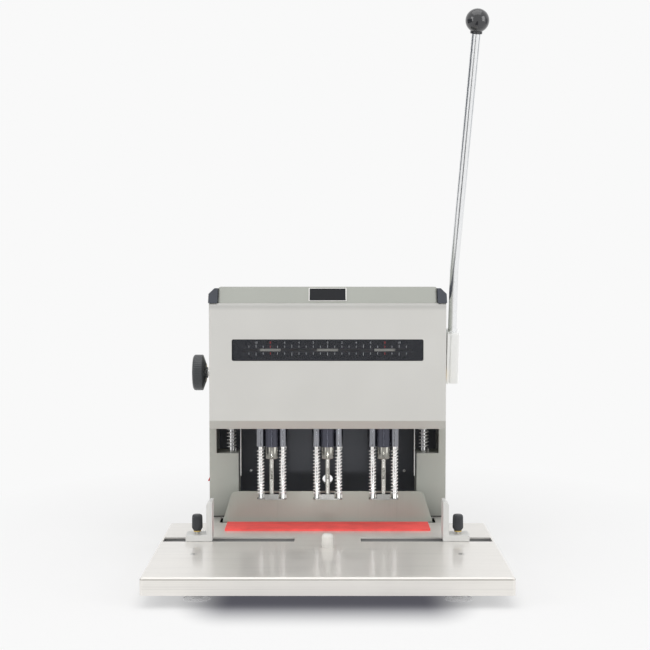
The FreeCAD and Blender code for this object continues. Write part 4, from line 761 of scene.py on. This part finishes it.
def make_world():
    """Even light from all round, and a plain pale background for the direct view and for reflections."""
    world = bpy.data.worlds.new("studio")
    bpy.context.scene.world = world
    world.use_nodes = True
    nodes, links = world.node_tree.nodes, world.node_tree.links
    nodes.clear()
    output = nodes.new("ShaderNodeOutputWorld")
    mix = nodes.new("ShaderNodeMixShader")
    light = nodes.new("ShaderNodeBackground")
    light.inputs["Color"].default_value = (1, 1, 1, 1)
    light.inputs["Strength"].default_value = SKY_STRENGTH
    shown = nodes.new("ShaderNodeBackground")
    shown.inputs["Color"].default_value = BACKGROUND
    shown.inputs["Strength"].default_value = 1
    path = nodes.new("ShaderNodeLightPath")
    share = path.outputs["Is Camera Ray"]
    for ray in ("Is Transmission Ray", "Is Glossy Ray"):
        either = nodes.new("ShaderNodeMath")
        either.operation = "MAXIMUM"
        links.new(share, either.inputs[0])
        links.new(path.outputs[ray], either.inputs[1])
        share = either.outputs["Value"]
    links.new(share, mix.inputs["Fac"])
    links.new(light.outputs["Background"], mix.inputs[1])
    links.new(shown.outputs["Background"], mix.inputs[2])
    links.new(mix.outputs["Shader"], output.inputs["Surface"])


FLOOR_REACH = 14
FLOOR_CLEAR_NEAR = 0.75
# The painted contact shadow under the machine: its half width, front inset, fade and tone
SHADOW_HALF_WIDE = 0.116
SHADOW_FRONT = 0.03
SHADOW_FADE = 0.125
SHADOW_TONE = (0.17, 0.17, 0.2, 1)


def vector_step(material, operation, first, second=None):
    item = add_node(material, "ShaderNodeVectorMath", operation=operation)
    join(material, first, item.inputs[0])
    if second is not None:
        item.inputs[1].default_value = second
    return item.outputs["Value" if operation == "LENGTH" else "Vector"]


def flat_board(name, wide, tall, material):
    """A flat rectangle about the origin."""
    mesh = bpy.data.meshes.new(name)
    x, y = wide / 2, tall / 2
    mesh.from_pydata([(-x, -y, 0), (x, -y, 0), (x, y, 0), (-x, y, 0)], [], [(0, 1, 2, 3)])
    mesh.materials.append(material)
    board = bpy.data.objects.new(name, mesh)
    bpy.context.scene.collection.objects.link(board)
    return board


def make_floor():
    """A pale floor with a painted soft contact shadow under the machine, which meets the background further
    out.
    """
    material = new_shader("floor_paper", srgb(248, 248, 248), 0.9)
    nodes = material.node_tree.nodes
    place = add_node(material, "ShaderNodeTexCoord").outputs["Object"]
    table_low, table_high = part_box("table_top")
    tray_high = high("base_tray")
    front, back = table_low.y + SHADOW_FRONT, tray_high.y
    from_middle = vector_step(material, "SUBTRACT", place, (0, (front + back) / 2, 0))
    outward = vector_step(material, "ABSOLUTE", from_middle)
    past_edge = vector_step(material, "SUBTRACT", outward, (SHADOW_HALF_WIDE, (back - front) / 2, 0))
    past_edge = vector_step(material, "MAXIMUM", past_edge, (0, 0, 0))
    gap = vector_step(material, "LENGTH", vector_step(material, "MULTIPLY", past_edge, (1.6, 1, 0)))
    ramp = add_node(material, "ShaderNodeValToRGB")
    ramp.color_ramp.interpolation = "EASE"
    ramp.color_ramp.elements[0].color = SHADOW_TONE
    ramp.color_ramp.elements[1].color = (1, 1, 1, 1)
    join(material, spread(material, gap, 0, 1, 0, SHADOW_FADE), ramp.inputs["Fac"])
    pale = add_node(material, "ShaderNodeMix", data_type="RGBA", blend_type="MULTIPLY")
    pale.inputs["Factor"].default_value = 1
    pale.inputs[MIX_FIRST].default_value = BACKGROUND
    join(material, ramp.outputs["Color"], pale.inputs[MIX_SECOND])
    join(material, pale.outputs[MIX_RESULT], shader_of(material).inputs["Base Color"])
    glow = add_node(material, "ShaderNodeEmission")
    join(material, pale.outputs[MIX_RESULT], glow.inputs["Color"])
    reach = vector_step(material, "LENGTH", vector_step(material, "MULTIPLY", place, (1.1, 0.8, 0)))
    far = spread(material, reach, 0.55, 1, FLOOR_CLEAR_NEAR / 2, FLOOR_CLEAR_NEAR)
    mix = add_node(material, "ShaderNodeMixShader")
    join(material, far, mix.inputs["Fac"])
    join(material, shader_of(material).outputs["BSDF"], mix.inputs[1])
    join(material, glow.outputs["Emission"], mix.inputs[2])
    join(material, mix.outputs["Shader"], nodes["Material Output"].inputs["Surface"])
    flat_board("floor", 2 * FLOOR_REACH, 2 * FLOOR_REACH, material)


def add_flag(name, place, target, wide, tall, tone):
    """A dark board that only shows in reflections, for contrast in the bright metal."""
    material = new_shader(name, (0, 0, 0, 1), 1, specular=0)
    glow = add_node(material, "ShaderNodeEmission")
    glow.inputs["Color"].default_value = tone
    join(material, glow.outputs["Emission"], material.node_tree.nodes["Material Output"].inputs["Surface"])
    board = flat_board(name, wide, tall, material)
    board.location = place
    board.rotation_euler = (Vector(target) - Vector(place)).to_track_quat("Z", "Y").to_euler()
    board.visible_camera = False
    board.visible_diffuse = False
    board.visible_shadow = False
    board.visible_transmission = False


def make_flags():
    add_flag("flag_left", (-2.1, -0.1, 0.62), (0.2, 0.15, 0.62), 2.6, 1.2, srgb(88, 92, 98))
    add_flag("flag_right", (2.3, 0.3, 0.6), (0.2, 0.15, 0.6), 1, 1.2, srgb(170, 172, 176))
    add_flag("flag_front", (0, -1.5, 0.004), (0, -1.5, 1), 0.5, 1.9, srgb(70, 71, 74))


def add_lamp(name, place, target, wide, tall, watts):
    lamp = bpy.data.lights.new(name, "AREA")
    lamp.shape = "RECTANGLE"
    lamp.size = wide
    lamp.size_y = tall
    lamp.energy = watts
    item = bpy.data.objects.new(name, lamp)
    bpy.context.scene.collection.objects.link(item)
    item.location = place
    item.rotation_euler = (Vector(target) - Vector(place)).to_track_quat("-Z", "Y").to_euler()
    item.visible_camera = False
    return lamp


FILL_SPREAD_DEGREES = 9


def make_lamps():
    """Three softboxes, and a narrow fill that lights the drills under the cover."""
    add_lamp("top_softbox", (0, -0.4, 2.4), (0, 0, 0.2), 2.2, 1.8, 14)
    add_lamp("left_softbox", (-2.2, -1.4, 1.1), (0, 0, 0.3), 1.2, 1.8, 18)
    add_lamp("right_softbox", (2.2, -1.4, 1.1), (0, 0, 0.3), 1.2, 1.8, 18)
    fill = add_lamp("low_fill", (0, -1.1, 0.1), (0, 0.05, 0.108), 0.16, 0.05, 0.0115)
    fill.spread = math.radians(FILL_SPREAD_DEGREES)


def make_camera():
    """The photograph's camera."""
    lens = bpy.data.cameras.new("photo_camera")
    lens.sensor_width = SENSOR
    lens.lens = FOCAL_PIXELS / PHOTO_WIDE * SENSOR
    lens.shift_x = -(SYMMETRY_PIXEL - PHOTO_WIDE / 2) / PHOTO_WIDE
    lens.clip_end = 60
    item = bpy.data.objects.new("photo_camera", lens)
    bpy.context.scene.collection.objects.link(item)
    table_low, table_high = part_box("table_top")
    item.location = (0, table_low.y - CAMERA_BACK, table_high.z + CAMERA_UP)
    item.rotation_euler = (math.radians(90 - CAMERA_DOWN_DEGREES), 0, 0)
    bpy.context.scene.camera = item


make_camera()
finish_nodes()
tone_sheets()
finish_guide_tubes()
finish_guide_rods()
round_node_edges()
make_scale()
make_pointers()
make_nameplate()
make_pitch_knob()
make_thumb_knobs()
make_inner_screws()
make_leg_edges()
make_rocker_marks()
make_world()
make_floor()
make_flags()
make_lamps()
bpy.context.scene.view_settings.view_transform = "Standard"
